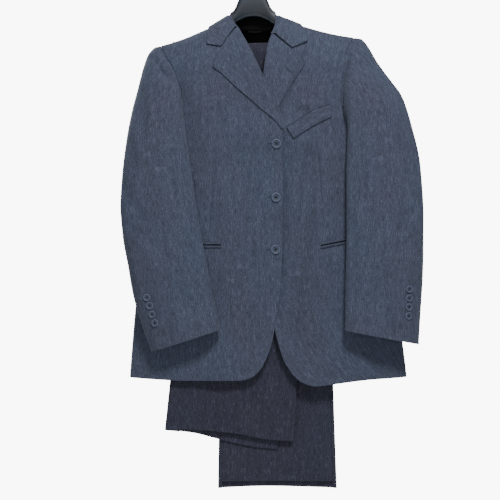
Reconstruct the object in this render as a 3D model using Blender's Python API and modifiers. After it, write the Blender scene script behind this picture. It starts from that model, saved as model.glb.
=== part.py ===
# A suit on a hanger: three-button jacket, trousers over the bar, plastic hanger with a wire hook.
# Sizes are in millimetres. x runs across, y from front to back, and "drop" is the distance below the
# inner top of the hook, where the origin lies. Right and left are the wearer's: right is at -x.
import math
import bpy
import bmesh
from mathutils import Vector

MM = 0.001
CLOTH = 2.0
TROUSER_CLOTH = 1.3
LINING = 1.0
SEAM = 0.22
ROUND = 75.0
ROUNDNESS = 2.6
UNDERARM = 348.0
HOOK_RADIUS = 20.0
HOOK_WIRE = 3.6
TILT = 0.026
BAR_DROP = 199.1
BAR_RADIUS = 4.5
SLEEVE_ROUND = 2.3

# x, drop of the shoulder line
SHOULDER = [(-216, 203), (-203, 195), (-190, 192.5), (-148, 180), (-90, 156), (-46, 140), (2, 134), (57, 138),
            (101, 150), (143, 162), (184, 171), (212, 175), (231, 177), (246, 186)]

# drop, left side, right side, depth in front, depth behind
BODY = [(120, -222, 250, 49, 40), (190, -216, 243, 52, 42), (240, -210, 238, 56, 46), (300, -200, 235, 58, 48),
        (348, -193, 236, 58, 50), (450, -201, 251, 55, 48), (600, -223, 276, 49, 43), (732, -243, 300, 43, 39),
        (817, -250.5, 316, 39, 36), (890, -256, 325, 37, 34)]

# soft folds pressed into the left front: x, drop at the top; x, drop at the foot; half width, depth
FOLDS = [(134, 430, 96, 800, 17, 4.0), (104, 420, 92, 600, 12, 2.5), (112, 262, 106, 330, 12, 2.5),
         (-120, 640, -60, 880, 30, -3.0), (190, 640, 225, 880, 26, -3.5)]

# share of the chord from shoulder point to underarm, how far the front and the back armhole bow inward
HOLE_RIGHT = [(0, 0, 0), (0.165, 13, 8), (0.3, 26.5, 14), (0.47, 38.5, 19), (0.625, 46, 21), (0.74, 48, 21),
              (0.83, 43, 18), (0.92, 28, 12), (1, 0, 0)]
HOLE_LEFT = [(0, 0, 0), (0.17, 19, 8), (0.31, 28, 14), (0.49, 36.5, 19), (0.73, 46.3, 22), (0.86, 47, 20),
             (0.94, 34, 13), (1, 0, 0)]

# share of the way from hem to shoulder, x and drop of the front's free edge, roll line and neck
EDGE_RIGHT = [(0, 22, 862), (0.05, 40, 818), (0.1, 48, 775), (0.2, 58, 700), (0.3, 62.5, 610), (0.4, 63.3, 520),
              (0.5, 63.2, 438), (0.57, 63.6, 374), (0.62, 59, 347), (0.7, 42, 310), (0.8, 19, 261),
              (0.9, -9, 200), (0.955, -32.5, 159), (1, -60, 146.5)]
EDGE_LEFT = [(0, 83, 877), (0.04, 66, 848), (0.08, 54.3, 813), (0.13, 46, 775), (0.2, 38, 715), (0.3, 33.5, 620),
             (0.5, 33, 438), (0.57, 31, 378), (0.65, 25.5, 335), (0.73, 23.5, 300), (0.79, 25, 271),
             (0.85, 29, 240), (0.91, 33, 209), (0.965, 44, 174), (1, 72, 142)]

# x, drop of the hem
HEM_RIGHT = [(-255.5, 886), (-139, 891), (-24.5, 890.5), (-1, 884), (11, 875), (22, 862)]
HEM_LEFT = [(83, 877), (103, 894), (131.5, 902.5), (169.5, 898.5), (238, 890), (324.5, 885)]
HEM_BACK = [(-255.5, 886), (34, 880), (324.5, 885)]

# station; outer edge x, drop, y; inner edge x, drop, y; depth in front, depth behind
SLEEVE_RIGHT = [(1, -204, 195.5, -2, -145, 333, -46, 46, 33), (2, -216, 210, -8, -142, 343, -49, 44, 29),
                (3, -226, 238, -18, -139.5, 353, -51, 40, 25), (4, -237, 282, -30, -137, 366, -53, 36, 21),
                (5, -249, 335, -40, -134.5, 385, -55, 33, 18), (6, -259, 395, -48, -131, 410, -57, 31, 16),
                (7, -268, 465, -51, -123, 463, -59, 30, 15), (8, -273.6, 527, -52, -113, 530, -61, 30, 15),
                (9, -268, 590, -53, -102, 595, -61, 30, 15), (10, -256, 655, -54, -90, 660, -61, 29, 15),
                (11, -243, 713, -54, -79.5, 712, -61, 28, 15), (12, -228, 772, -54, -70, 752, -61, 27, 15),
                (13, -207.2, 829.5, -54, -63.2, 783, -61, 26, 15)]
SLEEVE_LEFT = [(1, 230, 177.5, -2, 188, 336, -46, 46, 33), (2, 240, 190, -8, 191, 344, -49, 44, 29),
               (3, 262.5, 230, -18, 194, 354, -51, 40, 25), (4, 289, 268, -30, 195.5, 368, -53, 36, 21),
               (5, 310, 300, -38, 195, 389, -55, 33, 18), (6, 328, 357, -45, 193.5, 420, -57, 31, 16),
               (7, 348, 446, -49, 192, 475, -59, 30, 15), (8, 356, 545, -51, 192.5, 545, -61, 30, 15),
               (9, 355, 620, -52, 192.8, 600, -61, 30, 15), (10, 353, 678, -53, 191.5, 665, -61, 29, 15),
               (11, 350, 725, -53, 190.5, 712, -61, 28, 15), (12, 347, 770, -53, 190.2, 750, -61, 27, 15),
               (13, 344.4, 814, -54, 189.8, 785, -61, 26, 15)]

# x, drop on the roll line; x, drop on the lapel's edge
LAPEL_RIGHT = [(63.2, 371, 61, 371), (59, 347, 50, 356.5), (50, 328, 33, 341.5), (41, 308, 14, 326),
               (31, 286, -8, 306), (20, 263, -28, 289), (8.5, 238, -47, 271), (-3, 213, -65, 254),
               (-16, 188, -81, 240), (-31.5, 160, -63.5, 206)]
LAPEL_LEFT = [(31.3, 378, 33.3, 377), (27, 348, 41.5, 351), (24.5, 322, 56, 323), (23.5, 297, 70, 298),
              (25, 271, 85, 274), (29, 240, 98, 254), (33, 212, 105.5, 241.5), (38, 190, 108.7, 232.5),
              (43.5, 175.5, 82.5, 207)]

# neck seam x, y, drop; fold x, y, drop; outer edge x and its distance behind the shoulder line
COLLAR = [(-28.5, -34, 158.5, -31, -39, 157, -63.5, -55), (-29.5, -31, 156.5, -33.5, -35, 152, -93, -38),
          (-35, -25, 153.5, -38, -27, 143, -92.5, -20), (-46, -17, 148.5, -43.4, -19, 131.5, -91.5, -7),
          (-53, -10, 146, -49, -11, 130, -90.5, -2), (-55, 1, 144, -52, 1, 129.5, -87, 2),
          (-52, 14, 144.5, -50, 15, 127, -79, 9), (-40, 23, 147, -38, 25.5, 121, -60, 24),
          (-20, 27, 149, -18, 30, 116.5, -32, 36), (4, 28, 150.5, 3, 30.5, 115.5, 4, 41),
          (28, 27, 149, 25, 30, 116.5, 40, 36), (52, 22, 144, 45, 25.5, 121.5, 70, 24),
          (63, 14, 139, 56, 15, 127.5, 90, 9), (66, 1, 138, 59, 1, 130.5, 97.5, 2),
          (62, -10, 140.5, 56, -11, 130.5, 102, -2), (56, -19, 147.5, 50.5, -19, 132.5, 105, -6),
          (48.5, -27, 156.5, 48, -29, 149, 111, -19.5), (41.5, -37, 167.5, 45, -39.5, 163.5, 116, -34.5),
          (38.5, -43, 172.5, 43, -47, 172.5, 82.5, -58.5)]

# name, radius, x, drop of the buttons down the right front
FRONT_BUTTONS = [("top", 50.3, 401.5), ("middle", 49.5, 511.5), ("bottom", 48.8, 619)]
BUTTON_RADIUS = 9.8
CUFF_BUTTON_RADIUS = 7.6

# x, drop of the cuff buttons
CUFF_RIGHT = [(-214.7, 717), (-209.2, 733.5), (-204.2, 751.5), (-198, 769)]
CUFF_LEFT = [(321.2, 700), (321, 718.3), (320.6, 736.5), (319.8, 754.8)]

# x, drop along the mouth of each hip pocket, then along the top of the breast welt
POCKET_RIGHT = [(-203, 603), (-150, 607), (-98.5, 609.5), (-63.5, 609.8)]
POCKET_LEFT = [(142, 611), (181, 603.5), (220, 597), (260, 592)]
JET = 5.8
BREAST_TOP = [(71, 368), (103, 346.5), (135.5, 329), (162, 320)]
BREAST_FOOT = [(86, 391), (119, 368.5), (141, 357), (164, 346)]

# distance from the hanger's middle; drop of its top and underside; half thickness
HANGER = [(0, 63, 132, 9), (10, 64, 133, 9), (18, 69, 135, 9), (24, 79, 138, 9), (28, 90, 140, 9),
          (32, 100, 142, 9), (37, 112, 146, 9), (42, 119, 149, 9), (48, 124, 152, 9), (49.2, 131, 153, 9),
          (50.8, 139, 155, 9), (55, 149, 159, 9), (66, 153, 166, 9), (92, 158.5, 175, 9.5), (118, 167.6, 183, 10),
          (127, 170.7, 189, 10), (138, 174.7, 201, 10), (150, 179.1, 206, 10), (175, 188, 210, 9.5),
          (188, 195, 211, 8), (193, 198.5, 209, 5)]

# share of the way from hem to bar, middle, half width, y, half thickness
LEG_RIGHT = [(0, -47.5, 134.5, -12, 5.5), (0.14, -38.3, 131.8, -13, 5.5), (0.4, -22, 127, -13, 4.5),
             (0.75, -4, 120, -11.5, 2.7), (1, 2, 114, -10.8, 1.9)]
LEG_LEFT = [(0, 53.5, 124.5, 1.5, 5), (0.25, 50.5, 119.5, 1, 5), (0.5, 36, 118, -2, 3.8), (0.8, 12, 115, -6, 2.3),
            (1, 2, 114, -6.7, 1.9)]

# x, drop of the trouser hems
HEM_LEG_RIGHT_FRONT = [(-182, 993), (-151, 993.4), (-97, 995.4), (-51.7, 997.5), (-24.7, 1003.7), (8.4, 1010.9),
                       (47.8, 1016), (87, 1018)]
HEM_LEG_RIGHT_BACK = [(-182, 995.4), (-149, 998.5), (-107.7, 1004.7), (-80.7, 1012), (-70, 1020), (-24.7, 1026.5),
                      (16.7, 1032.7), (87, 1038)]
HEM_LEG_LEFT_FRONT = [(-71, 1104.5), (53, 1103), (178, 1104)]
HEM_LEG_LEFT_BACK = [(-71, 1118.5), (30, 1115), (178, 1118.5)]
WAIST_END = 300.0
WAISTBAND = 34.0

for old in list(bpy.data.objects):
    bpy.data.objects.remove(old, do_unlink=True)

suit = bpy.data.collections.new("suit_on_hanger")
cutters = bpy.data.collections.new("cutters")
bpy.context.scene.collection.children.link(suit)
bpy.context.scene.collection.children.link(cutters)


def make_material(name, colour, roughness, metallic=0.0):
    material = bpy.data.materials.new(name)
    material.use_nodes = True
    shader = material.node_tree.nodes["Principled BSDF"]
    shader.inputs["Base Color"].default_value = (*colour, 1)
    shader.inputs["Roughness"].default_value = roughness
    shader.inputs["Metallic"].default_value = metallic
    return material


JACKET_LOOK = ((0.075, 0.092, 0.130), 0.85)
TROUSER_LOOK = ((0.060, 0.072, 0.100), 0.85)
BUTTON_LOOK = ((0.120, 0.140, 0.180), 0.35)
LINING_LOOK = ((0.006, 0.006, 0.008), 0.5)
HANGER_LOOK = ((0.010, 0.016, 0.024), 0.35)
HOOK_LOOK = ((0.60, 0.60, 0.62), 0.25, 1.0)


def clamp(value, low, high):
    return max(low, min(high, value))


def mix(a, b, share):
    return a + (b - a) * share


def ease(value):
    value = clamp(value, 0, 1)
    return value * value * (3 - 2 * value)


# Reads a column of a table between its rows, on a smooth curve that never overshoots.
def read(table, at, column=1):
    keys = [row[0] for row in table]
    values = [row[column] for row in table]
    if at <= keys[0]:
        return values[0]
    if at >= keys[-1]:
        return values[-1]
    i = 0
    while at > keys[i + 1]:
        i += 1
    slopes = [(values[k + 1] - values[k]) / (keys[k + 1] - keys[k]) for k in range(len(keys) - 1)]

    def tangent(k):
        if k == 0:
            return slopes[0]
        if k == len(slopes):
            return slopes[-1]
        if slopes[k - 1] * slopes[k] <= 0:
            return 0.0
        return 2 * slopes[k - 1] * slopes[k] / (slopes[k - 1] + slopes[k])

    step = keys[i + 1] - keys[i]
    t = (at - keys[i]) / step
    start = (1 + 2 * t) * (1 - t) ** 2 * values[i] + t * (1 - t) ** 2 * step * tangent(i)
    end = t * t * (3 - 2 * t) * values[i + 1] + t * t * (t - 1) * step * tangent(i + 1)
    return start + end


# Reads every column of a table whose rows are numbered 0, 1, 2 and so on.
def read_row(table, at):
    numbered = [(i, *row) for i, row in enumerate(table)]
    return [read(numbered, at, column + 1) for column in range(len(table[0]))]


def spread(count, bunch=0.0):
    shares = [mix(i / count, 1 - math.cos(i / count * math.pi / 2), bunch) for i in range(count + 1)]
    return shares if bunch == 0 else [0.0, 0.0008] + shares[1:]


def fold_depth(x, drop):
    total = 0.0
    for x0, d0, x1, d1, width, depth in FOLDS:
        length = (x1 - x0) ** 2 + (d1 - d0) ** 2
        t = clamp(((x - x0) * (x1 - x0) + (drop - d0) * (d1 - d0)) / length, 0, 1)
        away = math.hypot(x - mix(x0, x1, t), drop - mix(d0, d1, t))
        total += depth * math.exp(-((away / width) ** 2))
    return total


# The jacket's outer surface at x and drop, lifted by a height; returns x, y and drop.
def skin(x, drop, face, lift=0.0):
    left, right = read(BODY, drop, 1), read(BODY, drop, 2)
    depth = read(BODY, drop, 3 if face == "front" else 4)
    u = clamp(abs(2 * x - left - right) / (right - left), 0, 1)
    depth *= (1 - u ** ROUNDNESS) ** (1 / ROUNDNESS)
    ridge = read(SHOULDER, x)
    fall = clamp((drop - ridge) / ROUND, 0, 1)
    sine = math.sqrt(1 - (1 - fall) ** 2)
    y = depth * sine
    if face == "front":
        y -= fold_depth(x, drop) * sine * (1 - u ** 6)
    across = sine / max(depth, 4)
    up = (1 - fall) / ROUND
    size = math.hypot(across, up) or 1.0
    y = max(y, 0) + SEAM + lift * across / size
    drop = max(drop, ridge) - lift * up / size
    return (x, -y if face == "front" else y, drop)


# How far the right front stands off so that the left front and its lapel lie under it.
def overlap(x, drop):
    amount = mix(6.0, 2.8, ease((drop - 385) / 45))
    return amount * ease((x + 35) / 55)


def right_front(x, drop, lift=0.0):
    return skin(x, drop, "front", lift + overlap(x, drop))


def left_front(x, drop, lift=0.0):
    return skin(x, drop, "front", lift)


def hole_point(side, share, face):
    hole = HOLE_RIGHT if side == "right" else HOLE_LEFT
    top = (-190, 193) if side == "right" else (212, 175.5)
    under = (read(BODY, UNDERARM, 1 if side == "right" else 2), UNDERARM)
    bow = read(hole, share, 1 if face == "front" else 2)
    inward = 1 if side == "right" else -1
    return mix(top[0], under[0], share) + inward * bow, mix(top[1], under[1], share)


# The side of a jacket panel: side seam from hem to underarm, then the armhole up to the shoulder.
def side_point(side, share, face, hem):
    if share < 0.6:
        foot = hem[0][1] if side == "right" else hem[-1][1]
        drop = mix(foot, UNDERARM, share / 0.6)
        return read(BODY, drop, 1 if side == "right" else 2), drop
    return hole_point(side, 1 - (share - 0.6) / 0.4, face)


ROWS = [0, 0.03, 0.07, 0.13, 0.2, 0.28, 0.36, 0.44, 0.52, 0.545, 0.57, 0.6, 0.62, 0.645, 0.7, 0.75, 0.81, 0.87, 0.92,
        0.955, 0.98, 0.993, 1.0]


# How far a panel's upper rows are drawn up to the shoulder line, less beside the armhole.
def to_shoulder(row, u):
    return ease((row - 0.9) / 0.1) * mix(ease(5 * u), 1, ease((row - 0.965) / 0.03))


def body_panel(side, face, edge, hem, surface, columns):
    grid = []
    for row in ROWS:
        outer = side_point(side, row, face, hem)
        inner = read(edge, row, 1), read(edge, row, 2)
        foot_outer = side_point(side, 0, face, hem)
        foot_inner = read(edge, 0, 1), read(edge, 0, 2)
        points = []
        for u in spread(columns, 0.8):
            x = mix(outer[0], inner[0], u)
            drop = mix(outer[1], inner[1], u)
            hem_dip = read(hem, mix(foot_outer[0], foot_inner[0], u)) - mix(foot_outer[1], foot_inner[1], u)
            drop += hem_dip * max(0, 1 - row / 0.15)
            rise = read(SHOULDER, x) - drop
            drop += rise * to_shoulder(row, u) * ease(8 * (1 - u))
            points.append(surface(x, drop))
        grid.append(points)
    return grid


# Turns a grid of x, y, drop points into a shell whose thickness lies behind the grid.
def shell(name, grid, thickness, look, flip=False, closed=False, middle=False):
    mesh = bpy.data.meshes.new(name)
    build = bmesh.new()
    rows = [[build.verts.new(Vector((x, y, -drop)) * MM) for x, y, drop in row] for row in grid]
    around = len(rows[0])
    for a, b in zip(rows, rows[1:]):
        for i in range(around if closed else around - 1):
            corners = [a[i], a[(i + 1) % around], b[(i + 1) % around], b[i]]
            build.faces.new(reversed(corners) if flip else corners)
    build.to_mesh(mesh)
    build.free()
    mesh.shade_smooth()
    piece = bpy.data.objects.new(name, mesh)
    suit.objects.link(piece)
    mesh.materials.append(make_material(name, *look))
    solid = piece.modifiers.new("thickness", "SOLIDIFY")
    solid.thickness = thickness * MM
    solid.offset = 0 if middle else -1
    return piece


def solid(name, rings, look):
    mesh = bpy.data.meshes.new(name)
    build = bmesh.new()
    rows = [[build.verts.new(Vector((x, y, -drop)) * MM) for x, y, drop in row] for row in rings]
    around = len(rows[0])
    for a, b in zip(rows, rows[1:]):
        for i in range(around):
            build.faces.new([a[i], a[(i + 1) % around], b[(i + 1) % around], b[i]])
    build.faces.new(reversed(rows[0]))
    build.faces.new(rows[-1])
    bmesh.ops.recalc_face_normals(build, faces=build.faces)
    build.to_mesh(mesh)
    build.free()
    mesh.shade_smooth()
    piece = bpy.data.objects.new(name, mesh)
    suit.objects.link(piece)
    mesh.materials.append(make_material(name, *look))
    return piece


# Jacket body.
shell("front_right", body_panel("right", "front", EDGE_RIGHT, HEM_RIGHT, right_front, 10), CLOTH, JACKET_LOOK)
shell("front_left", body_panel("left", "front", EDGE_LEFT, HEM_LEFT, left_front, 10), CLOTH, JACKET_LOOK, flip=True)

# Upper edge of the backs: shoulder seam out from the neck, back neck seam between.
def back_top(x):
    if x < -58 or x > 70:
        return read(SHOULDER, x)
    dip = ease((x + 58) / 16) if x < 4 else ease((70 - x) / 16)
    return mix(read(SHOULDER, x), 151.5, dip)


def back_panel(side):
    grid = []
    for row in ROWS:
        outer = side_point(side, row, "back", HEM_BACK)
        inner_x = mix(34, 4, ease(row))
        points = []
        for u in spread(7, 0.8):
            x = mix(outer[0], inner_x, u)
            foot, top = read(HEM_BACK, x), back_top(x)
            level = mix(outer[1], mix(foot, top, row), ease(u * 1.6))
            level = mix(level, top, to_shoulder(row, u))
            seam = SEAM if side == "left" else -SEAM
            points.append(skin(x + seam * u, max(level, top), "back"))
        grid.append(points)
    return grid


shell("back_right", back_panel("right"), CLOTH, JACKET_LOOK, flip=True)
shell("back_left", back_panel("left"), CLOTH, JACKET_LOOK)


# Where the body's panels end sideways at a drop: the armhole above the underarm, the side seam below it.
def body_border(side, drop, face):
    if drop >= UNDERARM:
        return read(BODY, drop, 1 if side == "right" else 2)
    top = 193 if side == "right" else 175.5
    return hole_point(side, clamp((drop - top) / (UNDERARM - top), 0, 1), face)[0]


# Below the underarm, moves a point straight away from a line inside the body's side until it is clear of it.
def round_side(side, point, margin):
    x, y, drop = point
    outward = -1 if side == "right" else 1
    face = "front" if y < 0 else "back"
    border = body_border(side, drop, face)
    centre = border - outward * 35
    reach = math.hypot(x - centre, y)
    across, ahead = (x - centre) / reach, y / reach
    edge = 0.0
    while outward * (border - centre - across * edge) > 0:
        if abs(ahead * edge) > abs(skin(centre + across * edge, drop, face)[1]):
            break
        edge += 0.5
    reach = max(reach, edge + margin)
    return (centre + across * reach, ahead * reach, drop)


# Moves a point of a sleeve out of the body by the shorter way, sideways or to the front, and keeps it in
# front of the armhole's edge as it comes round it.
def keep_off(side, point, station):
    x, y, drop = point
    margin, aside = min(5.5, 2 + 8 * station), min(5, 3.2 + 5 * station)
    outward = -1 if side == "right" else 1
    if drop >= UNDERARM and station < 5:
        return round_side(side, point, margin)
    face = "front" if y < 0 else "back"
    border = body_border(side, drop, face)
    inside = outward * (border - x)
    level = skin(x, drop, face)[1]
    if face == "back":
        if inside > -aside and y < level + margin:
            x = border + outward * aside
        return (x, y, drop)
    to_front = y - (level - margin)
    if inside > 0 and to_front <= 0:
        return point
    if inside > 0 and inside + aside >= to_front:
        return (x, y - to_front, drop)
    if inside > -aside:
        x, inside = border + outward * aside, -aside
    limit = skin(border, drop, "front")[1] - margin - 1.2 * inside
    return (x, min(y, limit), drop)


# Where a sleeve is set in: round the armhole, with its inner edge low on the front.
def set_in(side, angle):
    inner = 0.84
    if angle <= 180:
        x, drop = hole_point(side, inner * (1 - math.cos(math.radians(angle))) / 2, "front")
        face = "front"
    elif angle < 232:
        x, drop = hole_point(side, mix(inner, 1, (angle - 180) / 52), "front")
        face = "front"
    else:
        share = 1 - (angle - 232) / 128
        x, drop = hole_point(side, 1 - math.cos(share * math.pi / 2) if share < 1 else 1, "back")
        face = "back"
    outward = -1 if side == "right" else 1
    lift = 2.0 * ease((angle - 165) / 15) * ease((290 - angle) / 12)
    aside = 1.8 + 1.8 * ease((drop - 338) / 8)
    return skin(x + outward * aside, drop - 0.9 * ease((drop - 322) / 15), face, lift)


# A point of a sleeve at a station along it and an angle round it: 0 outer edge, 90 front, 180 inner edge.
def sleeve_point(side, station, angle):
    table = SLEEVE_RIGHT if side == "right" else SLEEVE_LEFT
    angle = angle % 360
    cosine, sine = math.cos(math.radians(angle)), math.sin(math.radians(angle))
    share = (1 - cosine) / 2
    at = max(station, 1)
    ox, od, oy, ix, idrop, iy, ahead, behind = [read(table, at, k) for k in range(1, 9)]
    if station < 1:
        start, end = set_in(side, 0), set_in(side, 180)
        ox, od, oy = mix(start[0], ox, station), mix(start[2], od, station), mix(start[1], oy, station)
        ix, idrop, iy = mix(end[0], ix, station), mix(end[2], idrop, station), mix(end[1], iy, station)
    round_out = (1 - abs(cosine) ** SLEEVE_ROUND) ** (1 / SLEEVE_ROUND)
    x, drop = mix(ox, ix, share), mix(od, idrop, share)
    y = mix(oy, iy, share) + (-ahead if sine >= 0 else behind) * round_out
    if station < 6:
        start, end, here = set_in(side, 0), set_in(side, 180), set_in(side, angle)
        weight = ease(station / 6)
        sx = here[0] + mix(ox - start[0], ix - end[0], share)
        sy = here[1] + mix(oy - start[1], iy - end[1], share) - 16 * ease(station) * max(sine, 0)
        sd = here[2] + mix(od - start[2], idrop - end[2], share)
        x, y, drop = mix(sx, x, weight), mix(sy, y, weight), mix(sd, drop, weight)
    if station > 0:
        x, y, drop = keep_off(side, (x, y, drop), station)
    return (x, y, drop)


STATIONS = [0, 0.2, 0.45, 0.75, 1.1, 1.5, 1.9, 2.3, 2.8, 3.3, 4, 5, 6, 7, 8, 9, 10, 11, 12, 13]


def back_seam(station):
    return mix(-28, 34, ease((station - 1) / 10))


# Shares across a panel with a narrow column beside each seam, so that two panels meet square.
def seamed(count):
    return [0, NARROW] + [mix(NARROW, 1 - NARROW, i / count) for i in range(1, count)] + [1 - NARROW, 1]


FRONT_SEAM = 218.0
GAP_ANGLE = 0.9
BACK_GAP = 0.55
NARROW = 0.02
BELOW_ARM = [219, 220.5, 225, 229.5, 231.4, 232, 233, 235.5, 241, 250]


def top_angles(station):
    first, last = back_seam(station) + BACK_GAP, FRONT_SEAM - GAP_ANGLE
    return [mix(first, last, share) for share in seamed(9)]


def under_angles(station):
    last = 360 + back_seam(station) - BACK_GAP
    return BELOW_ARM + [mix(250, last, share) for share in (0.16, 0.33, 0.52, 0.74, 0.97, 1)]


def sleeve_panel(side, angles):
    return [[sleeve_point(side, station, angle) for angle in angles(station)] for station in STATIONS]


for side in ("right", "left"):
    shell("top_sleeve_" + side, sleeve_panel(side, top_angles), CLOTH, JACKET_LOOK, flip=side == "right")
    shell("under_sleeve_" + side, sleeve_panel(side, under_angles), CLOTH, JACKET_LOOK, flip=side == "right")


# Lapels: a strip turned over at the roll line and laid back on the front.
def lapel(table, surface, inward):
    grid = []
    steps = 2 * (len(table) - 1)
    for i in range(steps + 1):
        rx, rd, ex, ed = read_row(table, i / 2)
        roll = clamp(math.hypot(ex - rx, ed - rd) / 20, 0.1, 1)
        roll *= 1 if inward > 0 else ease((290 - rd) / 30)
        row = [surface(rx + inward * 4.0, rd, -0.6)]
        for share, height in ((0, 3.6), (0.06, 4.1), (0.2, 4.0), (0.45, 3.5), (0.72, 3.1), (1, 2.9)):
            height = mix(2.8 if inward > 0 else 2.6, height, roll)
            row.append(surface(mix(rx + inward * (2.6 if share == 0 else 0), ex, share), mix(rd, ed, share), height))
        grid.append(row)
    return grid


shell("lapel_right", lapel(LAPEL_RIGHT, right_front, 1), CLOTH, JACKET_LOOK, flip=True)
shell("lapel_left", lapel(LAPEL_LEFT, left_front, -1), CLOTH, JACKET_LOOK)


# Moves a point near the shoulders straight out of the body until it stands a lift above the cloth.
def push_out(point, lift):
    x, y, drop = point
    left, right = read(BODY, drop, 1), read(BODY, drop, 2)
    u = clamp(abs(2 * x - left - right) / (right - left), 0, 1)
    depth = read(BODY, drop, 3 if y < 0 else 4) * (1 - u ** ROUNDNESS) ** (1 / ROUNDNESS)
    centre = read(SHOULDER, x) + ROUND
    across, up = y / depth, max((centre - drop) / ROUND, 0)
    size = math.hypot(across, up)
    need = 1 + lift * math.hypot(across / size / depth, up / size / ROUND)
    if size >= need:
        return point
    return (x, y * need / size, centre - up * need / size * ROUND)


# Collar: stand up from the neck seam, round fold, fall down over the shoulders.
def collar():
    grid = []
    for at in [0, 0.5] + [1 + i * 0.8 for i in range(20)] + [len(COLLAR) - 1.5, len(COLLAR) - 1]:
        nx, ny, nd, fx, fy, fd, ox, behind = read_row(COLLAR, at)
        edge = skin(ox, read(SHOULDER, ox) + abs(behind), "front" if behind < 0 else "back", 4.0)
        size = math.hypot(edge[0] - nx, edge[1] - ny)
        ax, ay = (edge[0] - nx) / size, (edge[1] - ny) / size
        row = [(nx, ny, nd), (mix(nx, fx, 0.6), mix(ny, fy, 0.6), mix(nd, fd, 0.6))]
        row.append((fx - ax * 0.2, fy - ay * 0.2, fd + 1.0))
        row.append((fx + ax * 1.8, fy + ay * 1.8, fd))
        start = (fx + ax * 4.6, fy + ay * 4.6, fd + 1.6)
        for share, lift in ((0, 6.5), (0.2, 6.2), (0.4, 5.8), (0.6, 5.2), (0.8, 4.6), (1, 4.0)):
            spot = [mix(start[k], edge[k], share) for k in range(3)]
            row.append(push_out(spot, lift))
        grid.append(row)
    return grid


shell("collar", collar(), CLOTH, JACKET_LOOK, flip=True)


# A strip laid along a line on the jacket, between two distances above and below it.
def strip(name, line, above, below, surface, height, thickness, look, flip, count=11):
    grid = []
    for share in spread(count):
        x, drop = read_row(line, share * (len(line) - 1))
        row = []
        for across, rise in ((0, 0), (0.3, 0.5), (0.7, 0.5), (1, 0)):
            row.append(surface(x, drop + mix(above, below, across), height + rise))
        grid.append(row)
    return shell(name, grid, thickness, look, flip=flip)


strip("jet_upper_right", POCKET_RIGHT, -JET, -0.2, right_front, 2.3, 1.3, JACKET_LOOK, False)
strip("jet_lower_right", POCKET_RIGHT, 0.2, JET, right_front, 2.3, 1.3, JACKET_LOOK, False)
strip("jet_upper_left", POCKET_LEFT, -JET, -0.2, left_front, 2.5, 1.3, JACKET_LOOK, False)
strip("jet_lower_left", POCKET_LEFT, 0.2, JET, left_front, 2.5, 1.3, JACKET_LOOK, False)

welt = []
for share in spread(8):
    top_x, top_drop = read_row(BREAST_TOP, share * 3)
    foot_x, foot_drop = read_row(BREAST_FOOT, share * 3)
    welt.append([left_front(mix(top_x, foot_x, v), mix(top_drop, foot_drop, v), 2.1) for v in (0, 0.25, 0.5, 0.75, 1)])
shell("breast_welt", welt, 1.6, JACKET_LOOK)

# Black lining at the back of the neck, with a plain hanging loop.
lining = []
for share in spread(7):
    row = []
    for u in spread(12):
        x = mix(-92, 104, u)
        top = max(back_top(x) + 12, 143)
        drop = mix(top if abs(x - 4) > 40 else 141, 262, share)
        behind = CLOTH + LINING + mix(5.5, 2.2, ease((drop - 160) / 70))
        point = skin(x, max(drop, 152), "back", -behind)
        row.append((x, point[1], min(drop, point[2]) if drop < 152 else point[2]))
    lining.append(row)
shell("neck_lining", lining, LINING, LINING_LOOK, flip=True)

loop = []
for share in spread(2):
    row = []
    for u in spread(6):
        x = mix(-9, 21, u)
        row.append((x, skin(x, 158, "back")[1] - CLOTH - LINING - 6.75, mix(156, 161, share)))
    loop.append(row)
shell("hanging_loop", loop, 0.8, LINING_LOOK, flip=True)


# Buttons: a turned disc with a raised rim and a dished middle, sewn close to the cloth.
def button(name, centre, normal, radius):
    profile = [(0.0, 0.6), (0.58, 0.65), (0.7, 1.0), (0.88, 1.0), (1.0, 0.6), (0.8, 0.0), (0.0, 0.0)]
    thick = 3.0 if radius > 9 else 2.6
    sides = 16 if radius > 9 else 10
    normal = Vector(normal).normalized()
    across = normal.cross(Vector((0, 0, 1))).normalized()
    up = across.cross(normal)
    mesh = bpy.data.meshes.new(name)
    build = bmesh.new()
    rings = []
    for r, height in profile:
        middle = Vector(centre) + normal * (0.35 + height * thick)
        count = 1 if r == 0 else sides
        ring = []
        for i in range(count):
            turn = 2 * math.pi * i / sides
            spot = middle + (across * math.cos(turn) + up * math.sin(turn)) * r * radius
            ring.append(build.verts.new(spot * MM))
        rings.append(ring)
    for a, b in zip(rings, rings[1:]):
        for i in range(sides):
            corners = [a[i % len(a)], a[(i + 1) % len(a)], b[(i + 1) % len(b)], b[i % len(b)]]
            build.faces.new(list(dict.fromkeys(corners)))
    bmesh.ops.recalc_face_normals(build, faces=build.faces)
    build.to_mesh(mesh)
    build.free()
    mesh.shade_smooth()
    piece = bpy.data.objects.new(name, mesh)
    suit.objects.link(piece)
    mesh.materials.append(make_material(name, *BUTTON_LOOK))


def place(point):
    return Vector((point[0], point[1], -point[2]))


for name, x, drop in FRONT_BUTTONS:
    middle = place(right_front(x, drop))
    across = place(right_front(x + 8, drop)) - place(right_front(x - 8, drop))
    down = place(right_front(x, drop + 8)) - place(right_front(x, drop - 8))
    lean = down.cross(across).normalized()
    lean = -lean if lean.y > 0 else lean
    button("button_" + name, middle, lean, BUTTON_RADIUS)


# The station and angle of a sleeve nearest to a point seen from the front.
def on_sleeve(side, x, drop):
    best = None
    for i in range(121):
        for k in range(61):
            station, angle = 9 + i / 30, 30 + k
            sx, sy, sd = sleeve_point(side, station, angle)
            miss = math.hypot(sx - x, sd - drop)
            if best is None or miss < best[0]:
                best = (miss, station, angle)
    return best[1], best[2]


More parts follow.
